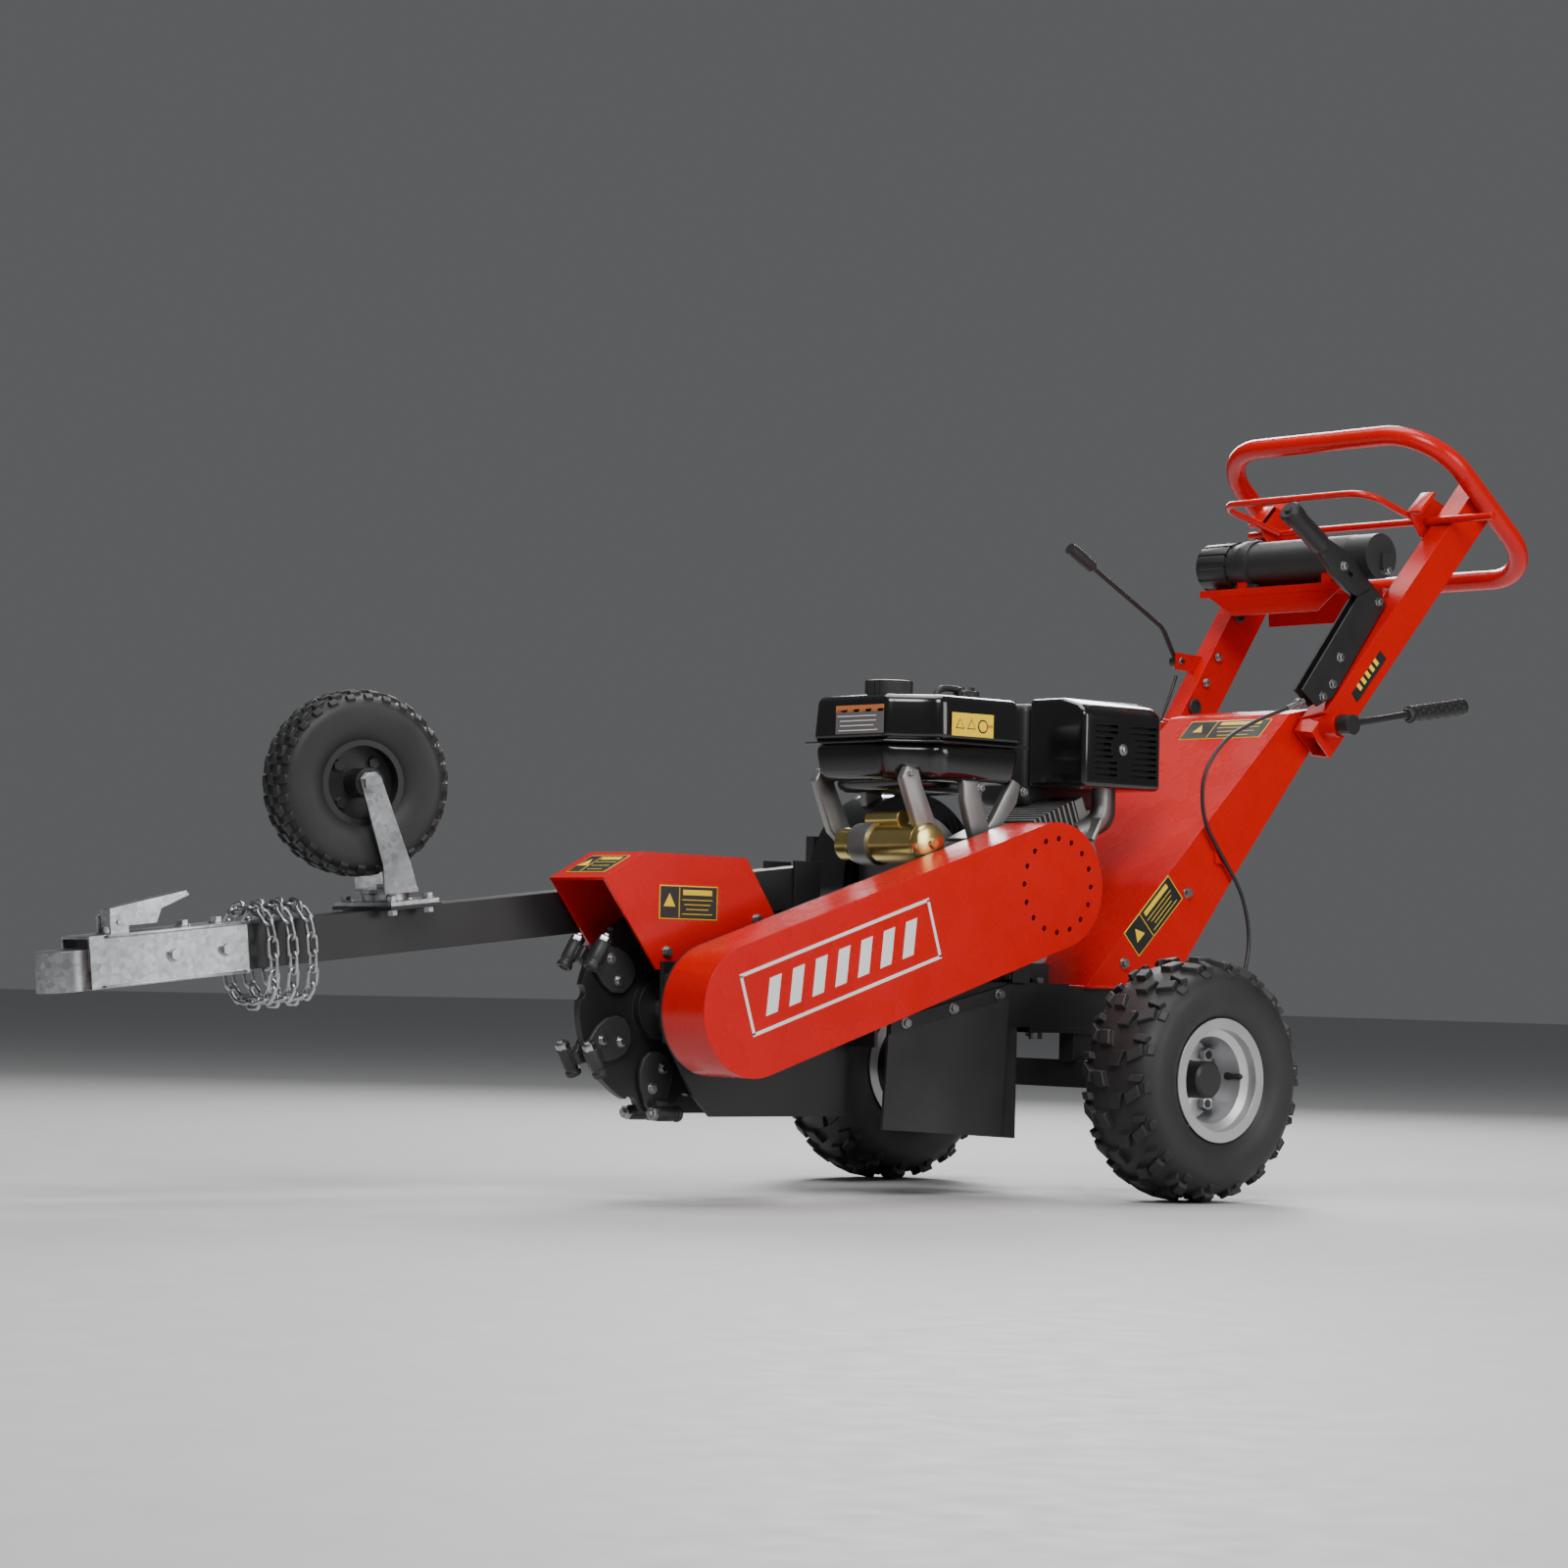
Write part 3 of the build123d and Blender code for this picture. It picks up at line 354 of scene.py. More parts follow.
# %% [markdown]
# ## The machine's own finishes
# Red and black powder coat cover the steel, gloss black the pressed engine covers. Bought-in hardware is
# bright zinc, hot-dip zinc or yellow zinc, castings are bare aluminium or iron, and the rest is rubber and
# moulded plastic.

# %% Paints and plastics
LIGHT_EDGE = (0.62, 0.04, 0.03)
GREY_EDGE = (0.16, 0.16, 0.16)
FINISHES = {
    "red_powder": finish("red_powder_coat", (0.58, 0.0008, 0.0004), 0.27, clouds=0.04, grain=700,
                         relief=0.000012, edge=LIGHT_EDGE, edge_amount=0.6, coat=0.1, shine=0.32),
    "black_powder": finish("black_powder_coat", (0.013, 0.013, 0.014), 0.42, clouds=0.2, grain=900,
                           relief=0.00008, edge=GREY_EDGE, edge_amount=0.6),
    "black_gloss": finish("gloss_black_enamel", (0.006, 0.006, 0.0065), 0.17, clouds=0.1, grain=260,
                          relief=0.00005, edge=GREY_EDGE, edge_amount=0.25, coat=0.5),
    "silver_paint": finish("silver_wheel_paint", (0.60, 0.60, 0.61), 0.34, metallic=0.75, clouds=0.05,
                           grain=1500, relief=0.00004, edge=(0.8, 0.8, 0.8)),
    "black_plastic": finish("moulded_black_plastic", (0.018, 0.018, 0.019), 0.48, clouds=0.15, grain=1400,
                            relief=0.00009, edge=GREY_EDGE, edge_amount=0.3),
    "cable_jacket": finish("cable_jacket", (0.012, 0.012, 0.012), 0.4, clouds=0.2, grain=1200,
                           relief=0.00004),
}
print("paints:", ", ".join(FINISHES))

# %% Metals and rubbers
FINISHES.update({
    "zinc_plate": finish("zinc_plating", (0.43, 0.44, 0.45), 0.30, metallic=1.0, clouds=0.3, grain=300,
                         relief=0.00010, edge=(0.7, 0.7, 0.71), spangle=140.0),
    "bare_steel": finish("machined_steel", (0.50, 0.49, 0.48), 0.30, metallic=1.0, clouds=0.15, grain=700,
                         relief=0.00005),
    "cast_aluminium": finish("cast_aluminium", (0.30, 0.30, 0.295), 0.46, metallic=0.9, clouds=0.16,
                             grain=520, relief=0.0002, edge=(0.8, 0.8, 0.8)),
    "cast_iron": finish("oiled_cast_iron", (0.055, 0.054, 0.054), 0.5, metallic=0.55, clouds=0.3,
                        grain=480, relief=0.00022, edge=(0.30, 0.29, 0.28)),
    "gold_zinc": finish("yellow_zinc", (0.78, 0.60, 0.22), 0.24, metallic=1.0, clouds=0.22, grain=300,
                        relief=0.00005, edge=(0.9, 0.8, 0.5)),
    "tyre_rubber": finish("tyre_rubber", (0.017, 0.017, 0.0175), 0.55, clouds=0.35, grain=650,
                          relief=0.00014, edge=(0.05, 0.05, 0.05), edge_amount=0.8),
    "sheet_rubber": finish("rubber_sheet", (0.021, 0.021, 0.021), 0.6, clouds=0.3, grain=500,
                           relief=0.00016, edge=(0.06, 0.06, 0.06)),
    "belt_rubber": finish("belt_rubber", (0.02, 0.02, 0.02), 0.7, clouds=0.3, grain=900, relief=0.0001),
})
LABELS = {
    "black": finish("label_black", (0.012, 0.011, 0.011), 0.38, clouds=0.1, grain=300),
    "yellow": finish("label_yellow", (0.93, 0.62, 0.005), 0.45, clouds=0.06, grain=300),
    "white": finish("label_white", (0.80, 0.79, 0.77), 0.42, clouds=0.04, grain=300),
    "grey": finish("label_grey", (0.14, 0.14, 0.14), 0.45, clouds=0.08, grain=300),
    "orange": finish("label_orange", (0.62, 0.20, 0.06), 0.42, clouds=0.06, grain=300),
}
print("finishes:", len(FINISHES) + len(LABELS))

# %% [markdown]
# ## Dressing the exact pieces
# The exact pieces come with plain colours named after their finish. Each plain colour is swapped for the
# detailed finish of the same name. The shapes stay untouched.

# %% Swap the plain colours
for node in nodes.values():
    for place in node.material_slots:
        plain = place.material.name.split(".")[0]
        place.material = FINISHES[plain]
print("dressed", len(nodes), "pieces")


def piece(obj, material, body, stands_for=(), angle=30):
    """Gives a new piece its finish, smooth shading and the body that it rides on."""
    if not obj.data.materials:
        obj.data.materials.append(material)
    take(obj)
    bpy.ops.object.shade_smooth_by_angle(angle=math.radians(angle))
    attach(obj, body)
    if stands_for:
        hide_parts(*stands_for)
    return obj


BOLT = [(0, 0.01), (0, 8), (1.2, 8), (1.2, 6.4), (5.6, 6.4), (6.4, 5), (6.4, 0.01)]   # along, radius


def bolt(name, place, axis, body, scale=1.0):
    """A hexagon head on its washer, standing on a face at a place."""
    outline = [(along * scale, radius * scale) for along, radius in BOLT]
    head = turned(name, outline, place, axis, steps=6)
    return piece(head, FINISHES["zinc_plate"], body, angle=20)


# %% [markdown]
# ## Camera, floor and lights
# The camera stands low at the front left with a long lens, so the machine looks solid and its uprights stay
# straight. The machine rests level here, so the camera carries the small tilt between machine and viewer.

# %% Camera
VIEW_SIDE = 41.23      # degrees round from the machine's side
VIEW_HEIGHT = 549.1
VIEW_DISTANCE = 6356.3
VIEW_OFFSET = 371.1
NOSE_UP = 2.986
ROLL = -0.853
PITCH = 0.629
LENS = 96.35
HUB_HEIGHT = middle("tyre_left").z

side_turn = math.radians(VIEW_SIDE)
forward = Vector((math.sin(side_turn), math.cos(side_turn), 0))
right = Vector((math.cos(side_turn), -math.sin(side_turn), 0))
stand = AXLE + (-VIEW_DISTANCE * forward - VIEW_OFFSET * right + VIEW_HEIGHT * Z) * MM
aim = Matrix((right, Z, -forward)).transposed().to_4x4()
aim = aim @ Matrix.Rotation(math.radians(ROLL), 4, "Z") @ Matrix.Rotation(math.radians(PITCH), 4, "X")
level = about(AXLE + Vector((0, 0, HUB_HEIGHT)), Y, -NOSE_UP)
clear()
bpy.ops.object.camera_add()
camera = named("camera")
camera.data.lens = LENS
camera.matrix_world = level @ Matrix.Translation(stand) @ aim
bpy.context.scene.camera = camera
print("camera at", [round(v, 2) for v in camera.matrix_world.translation])

# %% Floor and lights


def lamp(name, place, target, power, size):
    clear()
    bpy.ops.object.light_add(type="AREA", location=place)
    light = named(name)
    light.data.energy = power
    light.data.size = size
    light.rotation_euler = (target - place).to_track_quat("-Z", "Y").to_euler()


centre = (cad_low + cad_high) / 2
clear()
bpy.ops.mesh.primitive_plane_add(size=60, location=(centre.x, centre.y, 0))
floor = named("floor")
floor.data.materials.append(finish("pale_floor", (0.55, 0.55, 0.55), 0.6, clouds=0.03, grain=90))
lamp("key", centre + Vector((-2.6, -3.2, 3.4)), centre, 230, 2.4)
lamp("top", centre + Vector((0.4, 0.6, 3.8)), centre, 150, 3.0)
lamp("rim", centre + Vector((2.8, 2.4, 2.0)), centre, 130, 1.6)
lamp("low_fill", centre + Vector((1.2, -4.0, 0.9)), centre, 60, 2.0)
world = bpy.data.worlds.new("studio")
bpy.context.scene.world = world
world.use_nodes = True
world.node_tree.nodes["Background"].inputs["Color"].default_value = (0.50, 0.51, 0.53, 1)
world.node_tree.nodes["Background"].inputs["Strength"].default_value = 0.22
print("stage and lights set")

# %% [markdown]
# ## Tyres
# The driving tyres are low-pressure knobbly ones with angular lugs, and the jockey tyre has rows of small
# blocks. A displacement texture could raise the tread, but separate lugs give crisp edges. So the
# carcass is spun from a rounded section, one lug of each kind is shaped from a cube, and copies are set round
# it. The same two functions make all three tyres.

# %% Carcass
SQUARENESS = 2.6     # power of the rounded section: 2 would be an ellipse, more is squarer


def section_radius(across, half_width, middle_radius, rise):
    """Radius of a rounded tyre section at a distance from its centre line."""
    share = min(0.999, abs(across) / half_width)
    return middle_radius + rise * (1 - share ** SQUARENESS) ** (1 / SQUARENESS)


def carcass(name, centre, axis, half_width, middle_radius, rise, bead):
    """The tyre's casing: from one bead over the crown to the other bead, as a spun outline."""
    outline = []
    count, start = 40, math.radians(-52)
    power = 2 / SQUARENESS
    drop = (middle_radius - bead) / abs(math.sin(start)) ** power
    for i in range(count + 1):
        angle = start + (math.pi - 2 * start) * i / count
        c, s = math.cos(angle), math.sin(angle)
        across = half_width * math.copysign(abs(c) ** power, c)
        height = abs(s) ** power
        outline.append((across, middle_radius + (rise if s > 0 else -drop) * height))
    return turned(name, outline, centre, axis, steps=96)


def lug(centre, axis, length, width, height, across, section, turn, ahead, slant=0.7):
    """One rubber lug: a cube whose top is inset, with its corners bevelled, laid on the tyre's section."""
    radius = section_radius(across, *section)
    step = math.copysign(1.0, across or 1.0)
    lower = section_radius(across + step, *section)
    tilt = math.degrees(math.atan2(radius - lower, 1.0)) * -step
    clear()
    bpy.ops.mesh.primitive_cube_add(size=1)
    obj = named("lug")
    obj.scale = Vector((length, width, height + 7)) * MM
    settle(obj)
    top = max(v.co.z for v in obj.data.vertices)
    choose(obj, lambda place, normal: normal.z > 0.9)
    bpy.ops.transform.resize(value=(0.86, 0.86, 1))
    mode("OBJECT")
    for vertex in obj.data.vertices:
        vertex.co.z += height * MM - top
        vertex.co.x += vertex.co.y * slant * math.copysign(0.5, across)
    soften(obj, 1.1, 1, 25)
    flat = Matrix.Rotation(math.radians(turn), 4, "Z")
    lean = Matrix.Rotation(math.radians(tilt), 4, "X")
    out = Matrix.Translation(Vector((0, across, radius)) * MM)
    obj.data.transform(out @ lean @ flat)
    swing = Matrix.Rotation(math.radians(ahead), 4, "Y")
    yaw = Y.rotation_difference(axis).to_matrix().to_4x4()
    obj.data.transform(Matrix.Translation(centre) @ yaw @ swing)
    return obj


print("tyre helpers ready")

# %% The two driving tyres
DRIVE_SECTION = (70.5, 128.0, 41.5)     # half width, radius of the widest line, rise to the crown
DRIVE_BEAD = 86                         # radius where the tyre meets its rim
PITCHES = 18


def drive_lugs(centre, name):
    step = 360 / PITCHES
    lugs = []
    for side in (-1, 1):
        half = step / 2 if side > 0 else 0
        lugs.append(lug(centre, Y, 27, 22, 8.2, side * 15, DRIVE_SECTION, 18 * side, half))
        lugs.append(lug(centre, Y, 19, 27, 8.5, side * 43, DRIVE_SECTION, -12 * side, half + 3))
        lugs.append(lug(centre, Y, 13, 22, 7.5, side * 47, DRIVE_SECTION, 22 * side, half + 11))
        lugs.append(lug(centre, Y, 17, 13, 3.6, side * 61, DRIVE_SECTION, 0, half + 6, 0.3))
    return ring_of(name + "_lugs", joined("pitch", lugs), PITCHES, centre, Y)


for side in ("left", "right"):
    hub = middle("tyre_" + side)
    casing = carcass("carcass", hub, Y, *DRIVE_SECTION, DRIVE_BEAD)
    half_width, widest, crown = DRIVE_SECTION
    side_face = (half_width - 0.5) * MM
    rings = []
    for face in (-1, 1):
        for radius, thick in ((104.0, 1.0), (143.0, 1.2)):
            clear()
            share = (1 - ((radius - widest) / crown) ** 2) ** 0.5
            bpy.ops.mesh.primitive_torus_add(major_radius=radius * MM, minor_radius=thick * MM,
                                             major_segments=96, minor_segments=8,
                                             location=hub + Y * face * side_face * (0.25 + 0.75 * share),
                                             rotation=(math.pi / 2, 0, 0))
            rings.append(settle(named("ring")))
    tyre = joined("drive_tyre_" + side, [casing, drive_lugs(hub, side), *rings])
    piece(tyre, FINISHES["tyre_rubber"], side + "_wheel", ["tyre_" + side], 35)
    print("tyre", side, "faces", len(tyre.data.polygons))

# %% The jockey tyre
JOCKEY_SECTION = (40.5, 96.0, 26.0)
JOCKEY_BEAD = 57
JOCKEY_PITCHES = 28
wheel_joint = next(j for j in frame["joints"] if j["name"] == "jockey_wheel_spin")
jockey_axis = Vector(wheel_joint["axis"]).normalized()
if jockey_axis.y < 0:
    jockey_axis = -jockey_axis
jockey_hub = middle("caster_tyre")
blocks = []
step = 360 / JOCKEY_PITCHES
for side in (-1, 1):
    half = step / 2 if side > 0 else 0
    blocks.append(lug(jockey_hub, jockey_axis, 18, 12, 4.6, side * 8, JOCKEY_SECTION, 0, half, 0.1))
    blocks.append(lug(jockey_hub, jockey_axis, 17, 11, 4.8, side * 22, JOCKEY_SECTION, 0, half + 5, 0.25))
    blocks.append(lug(jockey_hub, jockey_axis, 13, 12, 4.2, side * 33, JOCKEY_SECTION, 0, half, 0.1))
tread = ring_of("jockey_tread", joined("pitch", blocks), JOCKEY_PITCHES, jockey_hub, jockey_axis)
casing = carcass("carcass", jockey_hub, jockey_axis, *JOCKEY_SECTION, JOCKEY_BEAD)
jockey_tyre = joined("jockey_tyre_treaded", [casing, tread])
piece(jockey_tyre, FINISHES["tyre_rubber"], "jockey_wheel", ["caster_tyre"], 35)
print("jockey tyre faces", len(jockey_tyre.data.polygons))

# %% [markdown]
# ## Valve stems
# Each steel rim has a short rubber valve with a cap. It is a turned shape, so a spun outline is the shortest
# way to it.

# %% Valves
VALVE = [(-6, 0.01), (-6, 5.5), (0, 5.5), (3, 4), (14, 3.6), (14, 4.4), (22, 4.2), (24, 3), (24, 0.01)]
for side in ("left", "right"):
    outward = -Y if side == "left" else Y
    foot = middle("tyre_" + side) + Vector((62, 0, 5)) * MM + outward * 18 * MM
    valve = turned("valve_" + side, VALVE, foot, outward, steps=20)
    piece(valve, FINISHES["black_plastic"], side + "_wheel")
print("valves fitted")

# %% [markdown]
# ## Fuel tank
# The tank is two deep pressings seamed together at a thin flange: a boxy upper half with generous corners
# and a hollowed front corner, and a lower half that tapers to a rounded bottom. Each half starts as the
# tank's plan outline, is extruded to height and gets wide bevels, and a softened block makes the belly. A
# subdivided box would lose the crisp flange line.

# %% Tank halves
tank_low, tank_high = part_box("fuel_tank")
NECK = 13 * MM                # height of the filler neck above the tank's top
TANK_TOP = tank_high.z - NECK
FLANGE = tank_low.z + (TANK_TOP - tank_low.z) * 0.45


def tank_plan(z, grow=0.0):
    """Plan of the tank, with the two shallow steps of its front corner, as points at a height."""
    x0, x1 = tank_low.x - grow + 6 * MM, tank_high.x + grow - 6 * MM
    y0, y1 = tank_low.y - grow + 6 * MM, tank_high.y + grow - 6 * MM
    far, deep, dent = 60 * MM, 19 * MM, 48 * MM
    corners = [(x0, y0 + far), (x0 + deep, y0 + dent), (x0 + dent, y0 + deep), (x0 + far, y0)]
    corners += [(x1, y0), (x1, y1), (x0, y1)]
    return [Vector((x, y, z)) for x, y in corners]


def tank_half(name, z, rise, taper, corner):
    half = plate(name, tank_plan(z), Z * rise)
    up = 1 if rise > 0 else -1
    choose(half, lambda place, normal: normal.z * up > 0.9)
    bpy.ops.transform.resize(value=(taper, taper, 1))
    mode("OBJECT")
    return soften(half, corner, 6, 15)


upper = tank_half("upper", FLANGE, TANK_TOP - FLANGE, 0.965, 12)
lower = tank_half("lower", FLANGE, tank_low.z - FLANGE, 0.93, 16)
belly = block("belly", Vector((at(-336, 0, 0).x, -62 * MM, tank_low.z - 15 * MM)),
              Vector((at(-184, 0, 0).x, 92 * MM, tank_low.z + 16 * MM)))
soften(belly, 14, 5)
seam = plate("seam", tank_plan(FLANGE - 1.5 * MM, 6 * MM), Z * 3 * MM)
soften(seam, 0.8, 2)
cap_place = middle("fuel_cap")
neck = drum("neck", Vector((cap_place.x, cap_place.y, TANK_TOP + NECK / 2)), Z, 30, NECK / MM + 4, 40)
tank = joined("fuel_tank_pressed", [upper, lower, belly, seam, neck])
piece(tank, FINISHES["black_gloss"], "chassis", ["fuel_tank"], 40)
print("tank", [round(v, 3) for v in tank_high - tank_low])

# %% [markdown]
# ## Fuel cap and gauge
# The cap is a moulded knob with finger ribs round its edge. It is a drum whose rim faces are pulled in one
# after the other, so the ribs are part of one skin. A vent fitting with a bent hose sits beside it.

# %% Fuel cap
cap_low, cap_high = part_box("fuel_cap")
cap_mid = (cap_low + cap_high) / 2
cap_radius = (cap_high.x - cap_low.x) / 2 / MM
cap = drum("fuel_cap_ribbed", cap_mid, Z, cap_radius, (cap_high.z - cap_low.z) / MM, 72)
choose(cap, lambda place, normal: abs(normal.z) < 0.1 and
       round(math.degrees(math.atan2(normal.y, normal.x)) / 5) % 2 == 0)
bpy.ops.mesh.inset(thickness=0.4 * MM, depth=-1.2 * MM, use_individual=True)
mode("OBJECT")
choose(cap, lambda place, normal: normal.z > 0.9)
bpy.ops.mesh.inset(thickness=5 * MM, depth=1.0 * MM)
bpy.ops.mesh.inset(thickness=4 * MM, depth=-2.0 * MM)
mode("OBJECT")
piece(cap, FINISHES["black_plastic"], "fuel_filler_cap", ["fuel_cap"])
print("cap radius", round(cap_radius, 1), "mm")

# %% Gauge and vent hose
gauge_foot = Vector((at(-190, 0, 0).x, -35 * MM, TANK_TOP - 1 * MM))
GAUGE = [(0, 0.01), (0, 20), (5, 20), (6, 17), (13, 16), (16, 13), (20, 12), (20, 0.01)]
gauge = turned("fuel_gauge", GAUGE, gauge_foot, Z, steps=32)
spout = drum("gauge_spout", gauge_foot + Vector((-8, 0, 16)) * MM, X, 4, 26, 16)
ears = ring_of("gauge_ears", block("ear", gauge_foot + Vector((14, -4, 4)) * MM,
               gauge_foot + Vector((19, 4, 14)) * MM), 6, gauge_foot, Z)
piece(joined("fuel_gauge", [gauge, spout, ears]), FINISHES["black_plastic"], "chassis")
hose_path = [gauge_foot + Vector(p) * MM for p in
             ((-18, 0, 16), (-40, 0, 18), (-58, -2, 14), (-66, -3, 2), (-67, -3, -8))]
piece(wire("vent_hose", hose_path, 5.2), FINISHES["sheet_rubber"], "chassis")
print("gauge fitted")

# %% [markdown]
# ## Exhaust guard
# The silencer sits under a pressed sheet cover with a sloped top, wide soft edges and rows of cooling slots
# that bend round one fixing screw. The cover is its end outline extruded along the machine and bevelled. The
# slots could be a bump pattern, but real cuts throw real shadows, so slot blocks are cut out of it.

# %% Guard body and slots
guard_low, guard_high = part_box("muffler_guard")
guard_low = Vector((at(-18, 0, 0).x, guard_low.y, guard_low.z))
END = [(0, 0), (0, 0.84), (0.13, 0.93), (0.42, 1), (1, 1), (1, 0)]
guard_size = guard_high - guard_low
outline = [guard_low + Vector((0, guard_size.y * across, guard_size.z * up)) for across, up in END]
guard = soften(plate("exhaust_guard", outline, X * guard_size.x), 8, 4, 25)
SCREW = Vector((at(66, 0, 0).x, guard_low.y, guard_low.z + 0.44 * guard_size.z))
slots = []
for row in range(9):
    z = guard_low.z + (18 + 9.2 * row) * MM
    rise = abs(z - SCREW.z)
    gap = max(11 * MM, math.sqrt(max(0, (25 * MM) ** 2 - rise ** 2)))
    left = (guard_low.x + 24 * MM, SCREW.x - gap)
    right_side = (SCREW.x + gap + 4 * MM, guard_high.x - 11 * MM)
    for x0, x1 in (left, right_side):
        slots.append(block("slot", Vector((x0, guard_low.y - 5 * MM, z)),
                           Vector((x1, guard_low.y + 9 * MM, z + 4.6 * MM))))
    slots.append(block("slot", Vector((guard_high.x - 9 * MM, guard_low.y + 22 * MM, z)),
                       Vector((guard_high.x + 5 * MM, guard_high.y - 22 * MM, z + 4.6 * MM))))
cutter = joined("slots", slots)
modify(guard, "BOOLEAN", object=cutter, operation="DIFFERENCE", solver="EXACT")
bpy.data.objects.remove(cutter)
piece(guard, FINISHES["black_gloss"], "chassis", ["muffler_guard"], 35)
screw = turned("guard_screw", [(-2, 0.01), (-2, 9), (1.5, 8.5), (1.8, 5.5), (4.6, 5), (5.2, 3), (5.2, 0.01)],
               SCREW, -Y, steps=24)
piece(screw, FINISHES["zinc_plate"], "chassis")
print("guard faces", len(guard.data.polygons))

# %% [markdown]
# ## Air cleaner cover
# The intake filter hides under a moulded box on the far side, held by one knob.

# %% Air cleaner
air_low, air_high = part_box("air_cleaner")
proud = 1.2 * MM            # keeps the cover clear of the exact box inside it
cover = block("air_cleaner_cover", air_low + Vector((-proud, -proud, 20 * MM)),
              air_high + Vector((proud, proud, proud)))
soften(cover, 13, 5, 20)
piece(cover, FINISHES["black_plastic"], "chassis")
knob_foot = Vector(((air_low.x + air_high.x) / 2, air_high.y - 4 * MM, (air_low.z + air_high.z) / 2))
knob = turned("air_cleaner_knob", [(0, 0.01), (0, 15), (6, 14), (9, 11), (10, 0.01)], knob_foot, Y, steps=24)
piece(knob, FINISHES["black_plastic"], "chassis")
print("air cleaner covered")

# %% [markdown]
# ## Labels
# The belt guard carries a framed panel, and the covers carry black and yellow placards. They are thin vinyl
# sheets. Here each is a thin slab with plain bars and a blank triangle, in the right place and colours, with
# no words. An image would be the usual way, but plain shapes say all that is needed.

# %% One placard
SHEET = 0.5         # thickness of a vinyl sheet, mm
ARM_LOW, ARM_HIGH = at(450, -148.2, 695), at(780, -198.2, 1110)


def mark(along, across, origin, up, x, y, length, width, colour, layer=1):
    """A bar on a placard, placed from the placard's centre in mm."""
    spot = origin + (along * x + across * y + up * SHEET * (layer + 0.1)) * MM
    bar = slab("mark", spot, along, across, length, width, SHEET)
    bar.data.materials.append(LABELS[colour])
    return bar


def placard(name, origin, along, across, length, width, body, lines=4):
    """A black sheet with a yellow rim, a blank triangle and bars that stand for lines of writing."""
    along, across = along.normalized(), across.normalized()
    up = along.cross(across).normalized()
    rim = mark(along, across, origin, up, 0, 0, length, width, "yellow", 0)
    field = mark(along, across, origin, up, 0, 0, length - 3, width - 3, "black", 0.5)
    parts = [rim, field, mark(along, across, origin, up, -length * 0.16, 0, 1.2, width - 5, "yellow")]
    clear()
    bpy.ops.mesh.primitive_cone_add(vertices=3, radius1=width * 0.26 * MM, radius2=width * 0.26 * MM,
                                    depth=SHEET * MM)
    triangle = named("triangle")
    turn = Matrix((along, across, up)).transposed().to_4x4()
    spot = origin + (along * -length * 0.33 + up * SHEET * 1.1) * MM
    triangle.matrix_world = Matrix.Translation(spot) @ turn
    settle(triangle)
    triangle.data.materials.append(LABELS["yellow"])
    parts.append(triangle)
    parts.append(mark(along, across, origin, up, length * 0.15, width * 0.3, length * 0.5, width * 0.16,
                      "yellow"))
    for row in range(lines):
        share = 0.52 - 0.07 * (row % 3)
        height = width * (0.08 - 0.42 * row / max(1, lines - 1))
        parts.append(mark(along, across, origin, up, length * 0.15, height, length * share, 1.1, "yellow"))
    label = joined(name, parts)
    return piece(label, None, body)


print("placard helper ready")

# %% Placards
placard("placard_hood_side", at(-738, -60.3, 412), X, Z, 105, 47, "chassis")
hood_slope = (at(-818, 0, 480) - at(-890, 0, 442)).normalized()
placard("placard_hood_top", at(-852, 0, 462.4), -Y, hood_slope, 84, 52, "chassis", 3)
slope = (at(420, 0, 742) - at(140, 0, 470)).normalized()
placard("placard_riser_front", at(396, -14, 719), -Y, slope, 172, 44, "chassis", 3)
placard("placard_riser_side", at(122, -128.3, 418), Vector((1, 0, 0.97)), Vector((-0.97, 0, 1)), 130, 48,
        "chassis")
arm_run = (ARM_HIGH - ARM_LOW).normalized()
arm_out = (-Y + arm_run * arm_run.y).normalized()
arm_across = arm_out.cross(arm_run)
arm_spot = ARM_LOW + arm_run * 148 * MM + arm_out * 19.2 * MM
up = arm_run.cross(arm_across).normalized()
arm_label = [mark(arm_run, arm_across, arm_spot, up, 0, 0, 92, 27, "black", 0)]
for k in range(5):
    arm_label.append(mark(arm_run, arm_across, arm_spot, up, -26 + 13 * k, 0, 7, 12, "yellow"))
piece(joined("placard_handle_arm", arm_label), None, "chassis")
print("placards stuck on")

